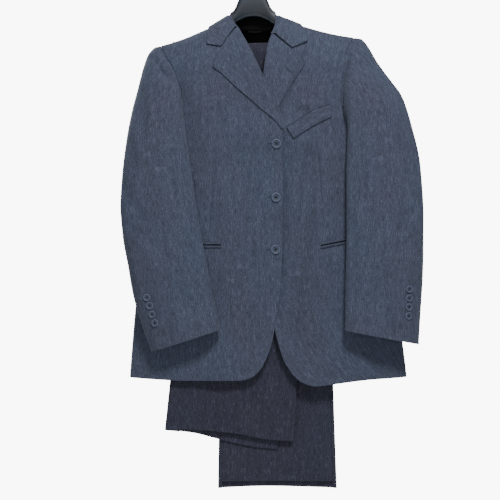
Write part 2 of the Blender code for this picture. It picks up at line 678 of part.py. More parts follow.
for side, table in (("right", CUFF_RIGHT), ("left", CUFF_LEFT)):
    for number, (x, drop) in enumerate(table, 1):
        station, angle = on_sleeve(side, x, drop)
        middle = place(sleeve_point(side, station, angle))
        along = place(sleeve_point(side, station + 0.1, angle)) - middle
        around = place(sleeve_point(side, station, angle + 5)) - place(sleeve_point(side, station, angle - 5))
        lean = along.cross(around).normalized()
        lean = -lean if lean.y > 0 else lean
        button("cuff_button_%s_%d" % (side, number), middle, lean, CUFF_BUTTON_RADIUS)


# Trousers: each leg a flattened tube up the front, over the bar and a little way down behind.
def bar_drop(x):
    return BAR_DROP - (x - 2) * TILT


def leg_point(table, hem, station, angle, outer):
    cosine, sine = math.cos(math.radians(angle)), math.sin(math.radians(angle))
    wide = math.copysign(abs(cosine) ** 0.42, cosine)
    deep = math.copysign(abs(sine) ** 0.42, sine)
    share = clamp(station, 0, 1)
    middle, half, y, thick = [read(table, share, k) for k in range(1, 5)]
    x = middle + half * wide
    if station <= 1:
        return (x, y - thick * deep, mix(read(hem, x), bar_drop(x), station))
    radius = outer + thick * deep
    if station <= 2:
        turn = math.pi * (station - 1)
        return (x, -radius * math.cos(turn), bar_drop(x) - radius * math.sin(turn))
    return (x, radius, mix(bar_drop(x), WAIST_END, station - 2))


LEG_STATIONS = [0, 0.06, 0.15, 0.27, 0.42, 0.6, 0.8, 0.93, 1, 1.2, 1.4, 1.6, 1.8, 2, 2.5, 3]


def leg_panel(table, hem, start, end, outer):
    angles = [mix(start, end, share) for share in seamed(9)]
    return [[leg_point(table, hem, station, angle, outer) for angle in angles] for station in LEG_STATIONS]


OUTER_LEG, INNER_LEG = 10.8, 6.7
right_front_leg = leg_panel(LEG_RIGHT, HEM_LEG_RIGHT_FRONT, -58, 121.5, OUTER_LEG)
right_back_leg = leg_panel(LEG_RIGHT, HEM_LEG_RIGHT_BACK, 122.1, 300.2, OUTER_LEG)
left_front_leg = leg_panel(LEG_LEFT, HEM_LEG_LEFT_FRONT, 32, 148, INNER_LEG)
left_back_leg = leg_panel(LEG_LEFT, HEM_LEG_LEFT_BACK, 148.8, 389.9, INNER_LEG)
shell("trouser_right_front", right_front_leg, TROUSER_CLOTH, TROUSER_LOOK, flip=True)
shell("trouser_right_back", right_back_leg, TROUSER_CLOTH, TROUSER_LOOK, flip=True)
shell("trouser_left_front", left_front_leg, TROUSER_CLOTH, TROUSER_LOOK, flip=True)
shell("trouser_left_back", left_back_leg, TROUSER_CLOTH, TROUSER_LOOK, flip=True)


# Waistband: one closed band folded into four layers that carry on from the four panels.
def waistband():
    layers = [INNER_LEG - 1.05, INNER_LEG + 1.05, OUTER_LEG - 1.05, OUTER_LEG + 1.05]
    turns = [(3, 0, 1), (0, 1, -1), (1, 2, 1), (2, 3, -1)]
    path = []
    for first, second, side in turns:
        y0, y1 = layers[first], layers[second]
        reach = 100 if (first, second) == (1, 2) else 106
        path.append((2 - side * 40, y0))
        path.append((2 + side * 40, y0))
        for k in range(5):
            turn = math.pi * k / 4
            x = 2 + side * (reach + abs(y1 - y0) / 2 * math.sin(turn))
            path.append((x, mix(y0, y1, (1 - math.cos(turn)) / 2)))
    return [[(x, y, drop) for x, y in path] for drop in (WAIST_END + 0.4, WAIST_END + WAISTBAND)]


shell("waistband", waistband(), 1.4, TROUSER_LOOK, closed=True, middle=True)

# Hanger: moulded body lofted across, with the trouser bar joined on.
rings = []
for reach in [-row[0] for row in reversed(HANGER)] + [row[0] for row in HANGER[1:]]:
    top, foot, half = [read(HANGER, abs(reach), k) for k in (1, 2, 3)]
    ring = []
    for i in range(12):
        turn = 2 * math.pi * i / 12
        y = half * math.copysign(abs(math.sin(turn)) ** 0.8, math.sin(turn))
        ring.append((2 + reach, y, (top + foot) / 2 - reach * TILT - (foot - top) / 2 * math.cos(turn)))
    rings.append(ring)
hanger = solid("hanger", rings, HANGER_LOOK)

bar_ring = [(BAR_RADIUS * math.cos(2 * math.pi * i / 14), BAR_RADIUS * math.sin(2 * math.pi * i / 14)) for i in range(14)]
bar = solid("hanger_bar", [[(x, y, bar_drop(x) + z) for y, z in bar_ring] for x in (-141, 145)], HANGER_LOOK)
bar.hide_render = True
bar.display_type = "WIRE"
suit.objects.unlink(bar)
cutters.objects.link(bar)
join = hanger.modifiers.new("bar", "BOOLEAN")
join.operation = "UNION"
join.solver = "EXACT"
join.object = bar

# Hook: wire up from the hanger, out to the right and round over the rail.
wire = HOOK_RADIUS + HOOK_WIRE / 2
path = [(2, 62.8), (2, 54)]
for k in range(1, 7):
    share = k / 7
    path.append((mix(2, wire, ease(share)), mix(54, HOOK_RADIUS, share)))
for k in range(17):
    turn = math.radians(mix(0, 205, k / 16))
    path.append((wire * math.cos(turn), HOOK_RADIUS - wire * math.sin(turn)))

hook_rings = []
for i, (x, drop) in enumerate(path):
    before, after = path[max(i - 1, 0)], path[min(i + 1, len(path) - 1)]
    heading = Vector((after[0] - before[0], 0, before[1] - after[1])).normalized()
    aside = Vector((0, 1, 0)).cross(heading)
    ring = []
    for k in range(10):
        turn = 2 * math.pi * k / 10
        spot = Vector((x, 0, -drop)) + (aside * math.cos(turn) + Vector((0, 1, 0)) * math.sin(turn)) * HOOK_WIRE / 2
        ring.append((spot.x, spot.y, -spot.z))
    hook_rings.append(ring)
solid("hook", hook_rings, HOOK_LOOK)
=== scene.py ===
# A suit on its hanger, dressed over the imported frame: slate blue wool jacket and trousers, buttons, lining,
# moulded hanger and wire hook. Sizes are in millimetres unless a line says otherwise; "drop" is the distance
# below the inner top of the hook, where the origin lies. Right and left are the wearer's: right is at -x.
import bisect
import math
import bpy
import bmesh
import numpy as np
from mathutils import Matrix, Vector, noise


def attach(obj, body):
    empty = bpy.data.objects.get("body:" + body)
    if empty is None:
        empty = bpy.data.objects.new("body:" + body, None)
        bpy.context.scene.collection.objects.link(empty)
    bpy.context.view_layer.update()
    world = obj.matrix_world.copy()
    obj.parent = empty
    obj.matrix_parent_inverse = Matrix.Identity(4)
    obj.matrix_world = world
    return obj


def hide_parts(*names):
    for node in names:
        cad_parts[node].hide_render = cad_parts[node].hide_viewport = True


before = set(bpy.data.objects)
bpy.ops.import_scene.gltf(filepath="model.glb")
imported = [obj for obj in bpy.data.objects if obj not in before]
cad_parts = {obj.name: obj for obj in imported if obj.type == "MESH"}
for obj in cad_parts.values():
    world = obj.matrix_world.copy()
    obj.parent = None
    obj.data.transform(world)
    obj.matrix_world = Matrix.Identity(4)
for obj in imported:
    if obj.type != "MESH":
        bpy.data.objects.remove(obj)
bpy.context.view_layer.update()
print("frame loaded:", len(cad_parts), "nodes")


def clamp(value, low, high):
    return max(low, min(high, value))


def mix(a, b, share):
    return a + (b - a) * share


def ease(value):
    value = clamp(value, 0, 1)
    return value * value * (3 - 2 * value)


tangentsKept = {}
rowsKept = {}


# Slopes of a smooth curve through the keys that never overshoots them.
def tangentsOf(keys, values):
    slopes = [(values[k + 1] - values[k]) / (keys[k + 1] - keys[k]) for k in range(len(keys) - 1)]
    found = [slopes[0]]
    for a, b in zip(slopes, slopes[1:]):
        found.append(0.0 if a * b <= 0 else 2 * a * b / (a + b))
    found.append(slopes[-1])
    return found


# Reads a column of a table between its rows.
def read(table, at, column=1):
    known = tangentsKept.get((id(table), column))
    if known is None:
        keys = [row[0] for row in table]
        values = [row[column] for row in table]
        known = (keys, values, tangentsOf(keys, values))
        tangentsKept[(id(table), column)] = known
    keys, values, tangents = known
    if at <= keys[0]:
        return values[0]
    if at >= keys[-1]:
        return values[-1]
    i = bisect.bisect_left(keys, at) - 1
    step = keys[i + 1] - keys[i]
    t = (at - keys[i]) / step
    start = (1 + 2 * t) * (1 - t) ** 2 * values[i] + t * (1 - t) ** 2 * step * tangents[i]
    return start + t * t * (3 - 2 * t) * values[i + 1] + t * t * (t - 1) * step * tangents[i + 1]


# Reads every column of a table whose rows are numbered 0, 1, 2 and so on.
def readRow(table, at):
    numbered = rowsKept.setdefault(id(table), [(i, *row) for i, row in enumerate(table)])
    return [read(numbered, at, column + 1) for column in range(len(table[0]))]


def spread(count, bunch=0.0):
    return [mix(i / count, 1 - math.cos(i / count * math.pi / 2), bunch) for i in range(count + 1)]


# Camera and light.

view = {
    "cameraAt": (-0.004, -3.065, -0.620),  # metres, level with the second button
    "halfWidth": 0.5125,  # metres seen to each side at 3 m
    "distance": 3.0,
    "roomLight": 0.26,
    "roomSeen": 9.0,  # how bright the empty room looks behind the suit
    "keyPower": 86,
    "keySize": 0.6,
    "keyAt": (0.5, -2.2, 1.6),
    "fillPower": 26,
    "fillSize": 1.6,
    "fillAt": (-0.3, -3.4, -0.9),
    "backPower": 60,
    "backSize": 0.9,
    "backAt": (-2.3, 2.1, 1.0),
    "floorDrop": 1.30,
    "floorRadius": 0.84,
}


def hexColour(text):
    channels = [int(text[i:i + 2], 16) / 255 for i in (1, 3, 5)]
    linear = [c / 12.92 if c <= 0.04045 else ((c + 0.055) / 1.055) ** 2.4 for c in channels]
    return (*linear, 1.0)


# Adds one node: settings are its own options or its sockets' values, links are socket: (node, output).
def addNode(tree, kind, settings=None, links=None):
    node = tree.nodes.new(kind)
    for name, value in (settings or {}).items():
        if isinstance(name, str) and hasattr(node, name):
            setattr(node, name, value)
        else:
            node.inputs[name].default_value = value
    for name, (source, output) in (links or {}).items():
        tree.links.new(source.outputs[output], node.inputs[name])
    return node


def newMaterial(name):
    material = bpy.data.materials.new(name)
    material.use_nodes = True
    material.node_tree.nodes.clear()
    return material, material.node_tree


def setRamp(ramp, stops):
    elements = ramp.color_ramp.elements
    while len(elements) < len(stops):
        elements.new(0.5)
    for element, (place, colour) in zip(elements, stops):
        element.position = place
        element.color = hexColour(colour)


cameraData = bpy.data.cameras.new("camera")
cameraData.sensor_width = 36
cameraData.lens = 18 / (view["halfWidth"] / view["distance"])
cameraData.clip_end = 50
camera = bpy.data.objects.new("camera", cameraData)
camera.location = view["cameraAt"]
camera.rotation_euler = (math.radians(90), 0, 0)
bpy.context.scene.collection.objects.link(camera)
bpy.context.scene.camera = camera

for lightName in ("key", "fill", "back"):
    lightData = bpy.data.lights.new(lightName, "AREA")
    lightData.size = view[lightName + "Size"]
    lightData.energy = view[lightName + "Power"]
    lamp = bpy.data.objects.new(lightName, lightData)
    lamp.location = view[lightName + "At"]
    lamp.rotation_euler = (Vector((0, 0, -0.6)) - lamp.location).to_track_quat("-Z", "Y").to_euler()
    bpy.context.scene.collection.objects.link(lamp)

world = bpy.data.worlds.new("room")
world.use_nodes = True
seen = addNode(world.node_tree, "ShaderNodeLightPath")
roomRange = {"To Min": view["roomLight"], "To Max": view["roomSeen"]}
strength = addNode(world.node_tree, "ShaderNodeMapRange", roomRange, {"Value": (seen, "Is Camera Ray")})
world.node_tree.nodes["Background"].inputs["Color"].default_value = hexColour("#FFFFFF")
world.node_tree.links.new(strength.outputs["Result"], world.node_tree.nodes["Background"].inputs["Strength"])
bpy.context.scene.world = world

floorMesh = bpy.data.meshes.new("floor")
floorBuild = bmesh.new()
bmesh.ops.create_circle(floorBuild, cap_ends=True, segments=96, radius=view["floorRadius"])
bmesh.ops.translate(floorBuild, verts=floorBuild.verts, vec=(0.03, 0, -view["floorDrop"]))
floorBuild.to_mesh(floorMesh)
floorBuild.free()
floor = bpy.data.objects.new("floor", floorMesh)
bpy.context.scene.collection.objects.link(floor)
paper, tree = newMaterial("matt white studio paper")  # even, no gloss
shader = addNode(tree, "ShaderNodeBsdfPrincipled", {"Base Color": hexColour("#EDEDEB"), "Roughness": 0.9})
addNode(tree, "ShaderNodeOutputMaterial", {}, {"Surface": (shader, "BSDF")})
floorMesh.materials.append(paper)
print("camera and light set")


# Materials.

# Worsted wool: dyed fibres of several tones spun together, so the cloth is streaked along the grain and
# speckled, with a dry surface and a faint nap. Real ends are 0.4 mm apart; the streaks are drawn wider.
def woolCloth(name, values):
    material, tree = newMaterial(name)
    uv = addNode(tree, "ShaderNodeUVMap", {"uv_map": "cloth"})
    layers = []
    for across, along, detail, weight in values["streaks"]:
        size = (1000 / across, 1000 / along, 1)
        place = addNode(tree, "ShaderNodeMapping", {"Scale": size, "Location": (across, along * 3, 0)},
                        {"Vector": (uv, "UV")})
        grain = addNode(tree, "ShaderNodeTexNoise", {"Scale": 1.0, "Detail": detail, "Roughness": 0.55},
                        {"Vector": (place, "Vector")})
        layers.append((grain, weight))
    total = None
    for grain, weight in layers:
        part = addNode(tree, "ShaderNodeMath", {"operation": "MULTIPLY_ADD", 1: weight, 2: -0.5 * weight},
                       {0: (grain, "Fac")})
        if total is None:
            total = part
        else:
            total = addNode(tree, "ShaderNodeMath", {"operation": "ADD"},
                            {0: (total, "Value"), 1: (part, "Value")})
    middle = addNode(tree, "ShaderNodeMath", {"operation": "ADD", 1: 0.5}, {0: (total, "Value")})
    tone = addNode(tree, "ShaderNodeValToRGB", {}, {"Fac": (middle, "Value")})
    setRamp(tone, values["tones"])
    broadPlace = addNode(tree, "ShaderNodeMapping", {"Scale": (1000 / 170, 1000 / 260, 1)},
                         {"Vector": (uv, "UV")})
    broad = addNode(tree, "ShaderNodeTexNoise", {"Scale": 1.0, "Detail": 2.0},
                    {"Vector": (broadPlace, "Vector")})
    cast = addNode(tree, "ShaderNodeValToRGB", {}, {"Fac": (broad, "Fac")})
    setRamp(cast, values["cast"])
    colour = addNode(tree, "ShaderNodeMix", {"data_type": "RGBA", "blend_type": "MULTIPLY", 0: 1.0},
                     {6: (tone, "Color"), 7: (cast, "Color")})
    ribPlace = addNode(tree, "ShaderNodeMapping",
                       {"Scale": (1000 / values["rib"], 1000 / values["rib"], 1),
                        "Rotation": (0, 0, math.radians(20))},
                       {"Vector": (uv, "UV")})
    ribs = addNode(tree, "ShaderNodeTexWave", {"Scale": 1 / 6.2832, "Distortion": 0.6, "Detail": 1.0},
                   {"Vector": (ribPlace, "Vector")})
    height = addNode(tree, "ShaderNodeMath", {"operation": "MULTIPLY_ADD", 1: 0.22},
                     {0: (ribs, "Fac"), 2: (middle, "Value")})
    bump = addNode(tree, "ShaderNodeBump", {"Strength": values["bump"], "Distance": 0.0012},
                   {"Height": (height, "Value")})
    dryness = addNode(tree, "ShaderNodeMapRange", {"To Min": 0.98, "To Max": 0.80},
                      {"Value": (middle, "Value")})
    shader = addNode(tree, "ShaderNodeBsdfPrincipled",
                     {"Sheen Weight": 0.22, "Sheen Roughness": 0.55, "Sheen Tint": hexColour("#A9B4C8"),
                      "IOR": 1.45,
                      "Specular IOR Level": 0.3},
                     {"Base Color": (colour, 2), "Roughness": (dryness, "Result"),
                      "Normal": (bump, "Normal")})
    addNode(tree, "ShaderNodeOutputMaterial", {}, {"Surface": (shader, "BSDF")})
    return material


jacketLook = {
    "streaks": [(1.9, 14, 2.0, 0.75), (1.0, 5, 2.0, 0.6), (2.3, 2.9, 3.0, 0.5), (8, 70, 1.0, 0.25)],
    "tones": [(0.2, "#2D323E"), (0.42, "#3D4251"), (0.58, "#474E5F"), (0.8, "#5F687B")],
    "cast": [(0.35, "#F4EEF2"), (0.65, "#F2FAFF")],
    "rib": 1.6,
    "bump": 0.35,
}
# The trousers are cut from the jacket's cloth; their darker tones are painted shade.
trouserShadedLook = {
    "streaks": [(1.9, 14, 2.0, 0.75), (1.0, 5, 2.0, 0.6), (2.3, 2.9, 3.0, 0.5), (8, 70, 1.0, 0.25)],
    "tones": [(0.2, "#1E202A"), (0.42, "#292B37"), (0.58, "#323442"), (0.8, "#4A4D5F")],
    "cast": [(0.35, "#FAF2F4"), (0.65, "#F4F8FF")],
    "rib": 1.6,
    "bump": 0.35,
}
jacketWool = woolCloth("worsted wool, slate blue", jacketLook)
trouserWool = woolCloth("worsted wool, slate blue, darkened as painted shade", trouserShadedLook)

# Acetate lining: woven satin of smooth filament, so black with a soft gleam along its fine ribs.
satin, tree = newMaterial("black acetate satin")
uv = addNode(tree, "ShaderNodeUVMap", {"uv_map": "cloth"})
place = addNode(tree, "ShaderNodeMapping", {"Scale": (1000 / 0.9, 1000 / 14, 1)}, {"Vector": (uv, "UV")})
ribs = addNode(tree, "ShaderNodeTexNoise", {"Scale": 1.0, "Detail": 2.0}, {"Vector": (place, "Vector")})
tone = addNode(tree, "ShaderNodeValToRGB", {}, {"Fac": (ribs, "Fac")})
setRamp(tone, [(0.35, "#010102"), (0.7, "#050507")])
bump = addNode(tree, "ShaderNodeBump", {"Strength": 0.25, "Distance": 0.0004}, {"Height": (ribs, "Fac")})
shader = addNode(tree, "ShaderNodeBsdfPrincipled",
                 {"Roughness": 0.52, "IOR": 1.47, "Specular IOR Level": 0.08},
                 {"Base Color": (tone, "Color"), "Normal": (bump, "Normal")})
addNode(tree, "ShaderNodeOutputMaterial", {}, {"Surface": (shader, "BSDF")})

# Cast polyester buttons: clouded blue-grey resin, turned, so satin; the dished middle and groove are painted
# darker as painted shade and the rim paler as a painted highlight.
resin, tree = newMaterial("cast polyester button, clouded blue-grey")
uv = addNode(tree, "ShaderNodeUVMap", {"uv_map": "cloth"})
split = addNode(tree, "ShaderNodeSeparateXYZ", {}, {"Vector": (uv, "UV")})
# by distance from the middle: painted shade in the dished middle and groove, painted highlight on the raised
# rim
rimHighlightAndDishShade = addNode(tree, "ShaderNodeValToRGB", {}, {"Fac": (split, "X")})
setRamp(rimHighlightAndDishShade,
        [(0.0, "#1A1F29"), (0.3, "#232936"), (0.37, "#4C5568"), (0.6, "#3F475A"), (0.78, "#525B70"),
         (0.95, "#5E677C")])
coords = addNode(tree, "ShaderNodeTexCoord")
place = addNode(tree, "ShaderNodeMapping", {"Scale": (1000 / 4.5, 1000 / 4.5, 1000 / 3)},
                {"Vector": (coords, "Object")})
clouds = addNode(tree, "ShaderNodeTexNoise", {"Scale": 1.0, "Detail": 3.0, "Distortion": 1.2},
                 {"Vector": (place, "Vector")})
shade = addNode(tree, "ShaderNodeValToRGB", {}, {"Fac": (clouds, "Fac")})
setRamp(shade, [(0.3, "#C9CDD6"), (0.7, "#FFFFFF")])
colour = addNode(tree, "ShaderNodeMix", {"data_type": "RGBA", "blend_type": "MULTIPLY", 0: 1.0},
                 {6: (rimHighlightAndDishShade, "Color"), 7: (shade, "Color")})
polish = addNode(tree, "ShaderNodeMapRange", {"To Min": 0.5, "To Max": 0.66}, {"Value": (clouds, "Fac")})
shader = addNode(tree, "ShaderNodeBsdfPrincipled", {"IOR": 1.54, "Specular IOR Level": 0.3},
                 {"Base Color": (colour, 2), "Roughness": (polish, "Result")})
addNode(tree, "ShaderNodeOutputMaterial", {}, {"Surface": (shader, "BSDF")})

# Spun polyester thread: twisted staple, so matt with a fine diagonal twist.
thread, tree = newMaterial("spun polyester thread, navy")
coords = addNode(tree, "ShaderNodeTexCoord")
place = addNode(tree, "ShaderNodeMapping", {"Scale": (1000 / 0.5, 1000 / 0.5, 1000 / 0.5)},
                {"Vector": (coords, "Object")})
twist = addNode(tree, "ShaderNodeTexNoise", {"Scale": 1.0, "Detail": 1.0}, {"Vector": (place, "Vector")})
tone = addNode(tree, "ShaderNodeValToRGB", {}, {"Fac": (twist, "Fac")})
setRamp(tone, [(0.3, "#1A1F2B"), (0.7, "#343C4E")])
shader = addNode(tree, "ShaderNodeBsdfPrincipled", {"Roughness": 0.8, "Sheen Weight": 0.15, "IOR": 1.5},
                 {"Base Color": (tone, "Color")})
addNode(tree, "ShaderNodeOutputMaterial", {}, {"Surface": (shader, "BSDF")})

# Moulded polypropylene: dark blue-green granules pressed in a spark-eroded mould, so a fine even grain
# under a satin gloss, with faint flow lines along the arms.
moulding, tree = newMaterial("moulded polypropylene, blue-black")
coords = addNode(tree, "ShaderNodeTexCoord")
place = addNode(tree, "ShaderNodeMapping", {"Scale": (1000 / 0.8, 1000 / 0.8, 1000 / 0.8)},
                {"Vector": (coords, "Object")})
grit = addNode(tree, "ShaderNodeTexNoise", {"Scale": 1.0, "Detail": 2.0}, {"Vector": (place, "Vector")})
flowPlace = addNode(tree, "ShaderNodeMapping", {"Scale": (1000 / 90, 1000 / 20, 1000 / 12)},
                    {"Vector": (coords, "Object")})
flow = addNode(tree, "ShaderNodeTexNoise", {"Scale": 1.0, "Detail": 2.0, "Distortion": 0.6},
               {"Vector": (flowPlace, "Vector")})
tone = addNode(tree, "ShaderNodeValToRGB", {}, {"Fac": (flow, "Fac")})
setRamp(tone, [(0.3, "#0F1823"), (0.7, "#172230")])
bump = addNode(tree, "ShaderNodeBump", {"Strength": 0.2, "Distance": 0.0003}, {"Height": (grit, "Fac")})
gloss = addNode(tree, "ShaderNodeMapRange", {"To Min": 0.42, "To Max": 0.58}, {"Value": (flow, "Fac")})
shader = addNode(tree, "ShaderNodeBsdfPrincipled", {"IOR": 1.49},
                 {"Base Color": (tone, "Color"), "Roughness": (gloss, "Result"), "Normal": (bump, "Normal")})
addNode(tree, "ShaderNodeOutputMaterial", {}, {"Surface": (shader, "BSDF")})

# Bright zinc plated wire: drawn through a die, so fine lines along it and soft reflections.
wireSteel, tree = newMaterial("zinc plated drawn steel wire")
coords = addNode(tree, "ShaderNodeTexCoord")
place = addNode(tree, "ShaderNodeMapping", {"Scale": (1000 / 0.5, 1000 / 0.5, 1000 / 9)},
                {"Vector": (coords, "Object")})
lines = addNode(tree, "ShaderNodeTexNoise", {"Scale": 1.0, "Detail": 2.0}, {"Vector": (place, "Vector")})
bump = addNode(tree, "ShaderNodeBump", {"Strength": 0.15, "Distance": 0.0002}, {"Height": (lines, "Fac")})
rub = addNode(tree, "ShaderNodeMapRange", {"To Min": 0.2, "To Max": 0.36}, {"Value": (lines, "Fac")})
shader = addNode(tree, "ShaderNodeBsdfPrincipled", {"Base Color": hexColour("#B9BCC2"), "Metallic": 1.0},
                 {"Roughness": (rub, "Result"), "Normal": (bump, "Normal")})
addNode(tree, "ShaderNodeOutputMaterial", {}, {"Surface": (shader, "BSDF")})
print("materials made")


# Meshes from grids of x, y, drop.

# Draws a grid finer along both ways, through its own points.
def refine(grid, rowSteps, columnSteps):
    points = np.array(grid, float)
    for axis, steps in ((0, rowSteps), (1, columnSteps)):
        points = np.swapaxes(points, 0, axis)
        count = len(points)
        steps = [steps] * (count - 1) if isinstance(steps, int) else steps
        gaps = np.linalg.norm(np.diff(points, axis=0), axis=2).mean(1)[:, None, None] + 1e-6
        slopes = np.diff(points, axis=0) / gaps
        product = slopes[:-1] * slopes[1:]
        total = slopes[:-1] + slopes[1:]
        inner = np.where(product > 0, 2 * product / np.where(np.abs(total) < 1e-9, 1e-9, total), 0)
        tangents = np.concatenate([slopes[:1], inner, slopes[-1:]])
        made = []
        for i in range(count - 1):
            for k in range(steps[i]):
                t = k / steps[i]
                made.append((1 + 2 * t) * (1 - t) ** 2 * points[i] + t * (1 - t) ** 2 * gaps[i] * tangents[i]
                            + t * t * (3 - 2 * t) * points[i + 1]
                            + t * t * (t - 1) * gaps[i] * tangents[i + 1])
        made.append(points[-1])
        points = np.swapaxes(np.array(made), 0, axis)
    return points


# Evens out a grid inside its border.
def relax(points, passes, amount=0.5):
    for _ in range(passes):
        around = (points[:-2, 1:-1] + points[2:, 1:-1] + points[1:-1, :-2] + points[1:-1, 2:]) / 4
        points[1:-1, 1:-1] = mix(points[1:-1, 1:-1], around, amount)
    return points


# Lengths along the cloth from an anchor column, so that the grain runs straight along it; in metres.
def clothLengths(points, anchor, start):
    steps = np.linalg.norm(np.diff(points, axis=1), axis=2)
    across = np.concatenate([np.zeros((len(points), 1)), np.cumsum(steps, axis=1)], axis=1)
    across = across - across[:, anchor:anchor + 1] + start[:, None]
    line = points[:, anchor]
    along = np.concatenate([[0], np.cumsum(np.linalg.norm(np.diff(line, axis=0), axis=1))])
    return np.dstack([across, np.repeat(along[:, None], points.shape[1], 1)]) * 0.001


# Turns a bmesh into a linked piece with one material.
def pieceFrom(build, name, material, smooth=False):
    mesh = bpy.data.meshes.new(name)
    build.to_mesh(mesh)
    build.free()
    if smooth:
        mesh.shade_smooth()
    mesh.materials.append(material)
    piece = bpy.data.objects.new(name, mesh)
    bpy.context.scene.collection.objects.link(piece)
    return piece


# Hides the frame's parts that a piece stands for, and has the whole suit carry it.
def finish(piece, slot, *nodes):
    if nodes:
        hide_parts(*nodes)
    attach(piece, "root")
    return piece


# A thin cloth wall whose outer face is the grid; the edges are turned and pressed, so softly rounded.
def clothShell(name, grid, material, thickness, flip=False, anchor=0, grainFrom=None, closed=False,
               offset=-1, edge=0.55):
    points = np.array(grid, float)
    rows, columns = points.shape[:2]
    start = np.zeros(rows) if grainFrom is None else np.array(grainFrom, float)
    lengths = clothLengths(points, anchor, start).reshape(-1, 2)
    places = points.reshape(-1, 3) * (0.001, 0.001, -0.001)
    faces = []
    for r in range(rows - 1):
        for c in range(columns if closed else columns - 1):
            n = (c + 1) % columns
            corners = (r * columns + c, r * columns + n, (r + 1) * columns + n, (r + 1) * columns + c)
            faces.append(corners[::-1] if flip else corners)
    mesh = bpy.data.meshes.new(name)
    mesh.from_pydata(places.tolist(), [], faces)
    layer = mesh.uv_layers.new(name="cloth")
    loops = np.zeros(len(mesh.loops), np.int32)
    mesh.loops.foreach_get("vertex_index", loops)
    layer.data.foreach_set("uv", lengths[loops].astype(np.float32).ravel())
    mesh.shade_smooth()
    mesh.materials.append(material)
    piece = bpy.data.objects.new(name, mesh)
    bpy.context.scene.collection.objects.link(piece)
    wall = piece.modifiers.new("wall", "SOLIDIFY")
    wall.thickness = thickness * 0.001
    wall.offset = offset
    if edge:
        turned = piece.modifiers.new("turned edge", "BEVEL")
        turned.width = edge * 0.001
        turned.segments = 2
        turned.limit_method = "ANGLE"
        turned.angle_limit = math.radians(50)
    return piece


def normalAt(points, r, c):
    r0, r1 = max(r - 1, 0), min(r + 1, points.shape[0] - 1)
    c0, c1 = max(c - 1, 0), min(c + 1, points.shape[1] - 1)
    flipY = np.array([1, 1, -1])
    found = np.cross((points[r, c1] - points[r, c0]) * flipY, (points[r1, c] - points[r0, c]) * flipY)
    found = Vector(found / np.linalg.norm(found))
    return -found if found.y > 0 else found


# Jacket body.

jacket = {
    "cloth": 1.9,
    "seam": 0.22,
    "round": 75.0,
    "roundness": 2.6,
    "underarm": 348.0,
    "ripple": 0.55,
    "dartDepth": 2.0,
    "dartWidth": 2.2,
    "lapUnderLapel": 6.0,
    "lapBelow": 2.8,
    "lapTrough": 9.0,
}
# x, drop of the shoulder line
shoulderLine = [(-216, 203), (-203, 195), (-190, 192.5), (-148, 180), (-90, 156), (-46, 140), (2, 134),
                (57, 138), (101, 150), (143, 162), (184, 171), (212, 175), (231, 177), (246, 186)]
# drop, left side, right side, depth in front, depth behind
bodyWidths = [(120, -222, 250, 49, 40), (190, -216, 243, 52, 42), (240, -210, 238, 56, 46),
              (300, -200, 235, 58, 48), (348, -193, 236, 58, 50), (450, -201, 251, 55, 48),
              (600, -223, 276, 49, 43), (732, -243, 300, 43, 39), (817, -250.5, 316, 39, 36),
              (890, -256, 325, 37, 34)]
# folds in the fronts: x, drop at the top; x, drop at the foot; half width, depth (less than 0 is a ridge)
frontFolds = [(112, 222, 62, 338, 11, 5.0), (126, 210, 84, 344, 24, 6.5), (104, 335, 70, 450, 12, 5.5),
              (86, 392, 164, 347, 2.6, 1.3), (122, 430, 86, 800, 16, 9.5), (160, 430, 130, 800, 20, -5.0),
              (104, 420, 92, 600, 12, 2.5), (112, 262, 106, 330, 12, 3.2), (-120, 640, -60, 880, 30, -4.2),
              (190, 640, 225, 880, 26, -4.6), (96, 690, 74, 850, 9, 2.2), (140, 640, 176, 872, 17, -2.2),
              (205, 470, 212, 590, 11, 1.9), (62, 470, 54, 640, 9, 1.5), (-150, 255, -128, 400, 13, 2.5),
              (-104, 300, -84, 410, 16, -1.9), (-122, 420, -136, 600, 12, 2.1),
              (-60, 470, -42, 700, 20, -2.2), (-20, 420, -14, 560, 13, 1.6), (-170, 640, -190, 870, 15, 2.5),
              (-96, 660, -112, 884, 12, 2.0), (10, 640, -4, 800, 12, 1.8), (175, 240, 160, 330, 12, 2.1),
              (-80, 215, -96, 300, 14, 1.5), (236, 640, 262, 870, 12, 2.3)]
# the same in the back, which the photo doesn't show
backFolds = [(-112, 262, -84, 560, 22, 4.0), (-150, 420, -170, 720, 16, 3.5), (-60, 600, -78, 870, 15, -3.7),
             (96, 280, 74, 520, 20, 3.5), (168, 400, 196, 700, 18, 3.7), (66, 640, 92, 872, 14, -3.5),
             (4, 460, 4, 660, 26, 3.5), (-196, 640, -214, 860, 13, 3.1), (220, 640, 250, 860, 14, 3.3),
             (-30, 300, -18, 420, 16, -2.2), (40, 320, 50, 450, 15, 2.2)]
# share of the chord from shoulder point to underarm, how far the front and the back armhole bow inward
holeRight = [(0, 0, 0), (0.165, 13, 8), (0.3, 26.5, 14), (0.47, 38.5, 19), (0.625, 46, 21), (0.74, 48, 21),
             (0.83, 43, 18), (0.92, 28, 12), (1, 0, 0)]
holeLeft = [(0, 0, 0), (0.17, 19, 8), (0.31, 28, 14), (0.49, 36.5, 19), (0.73, 46.3, 22), (0.86, 47, 20),
            (0.94, 34, 13), (1, 0, 0)]
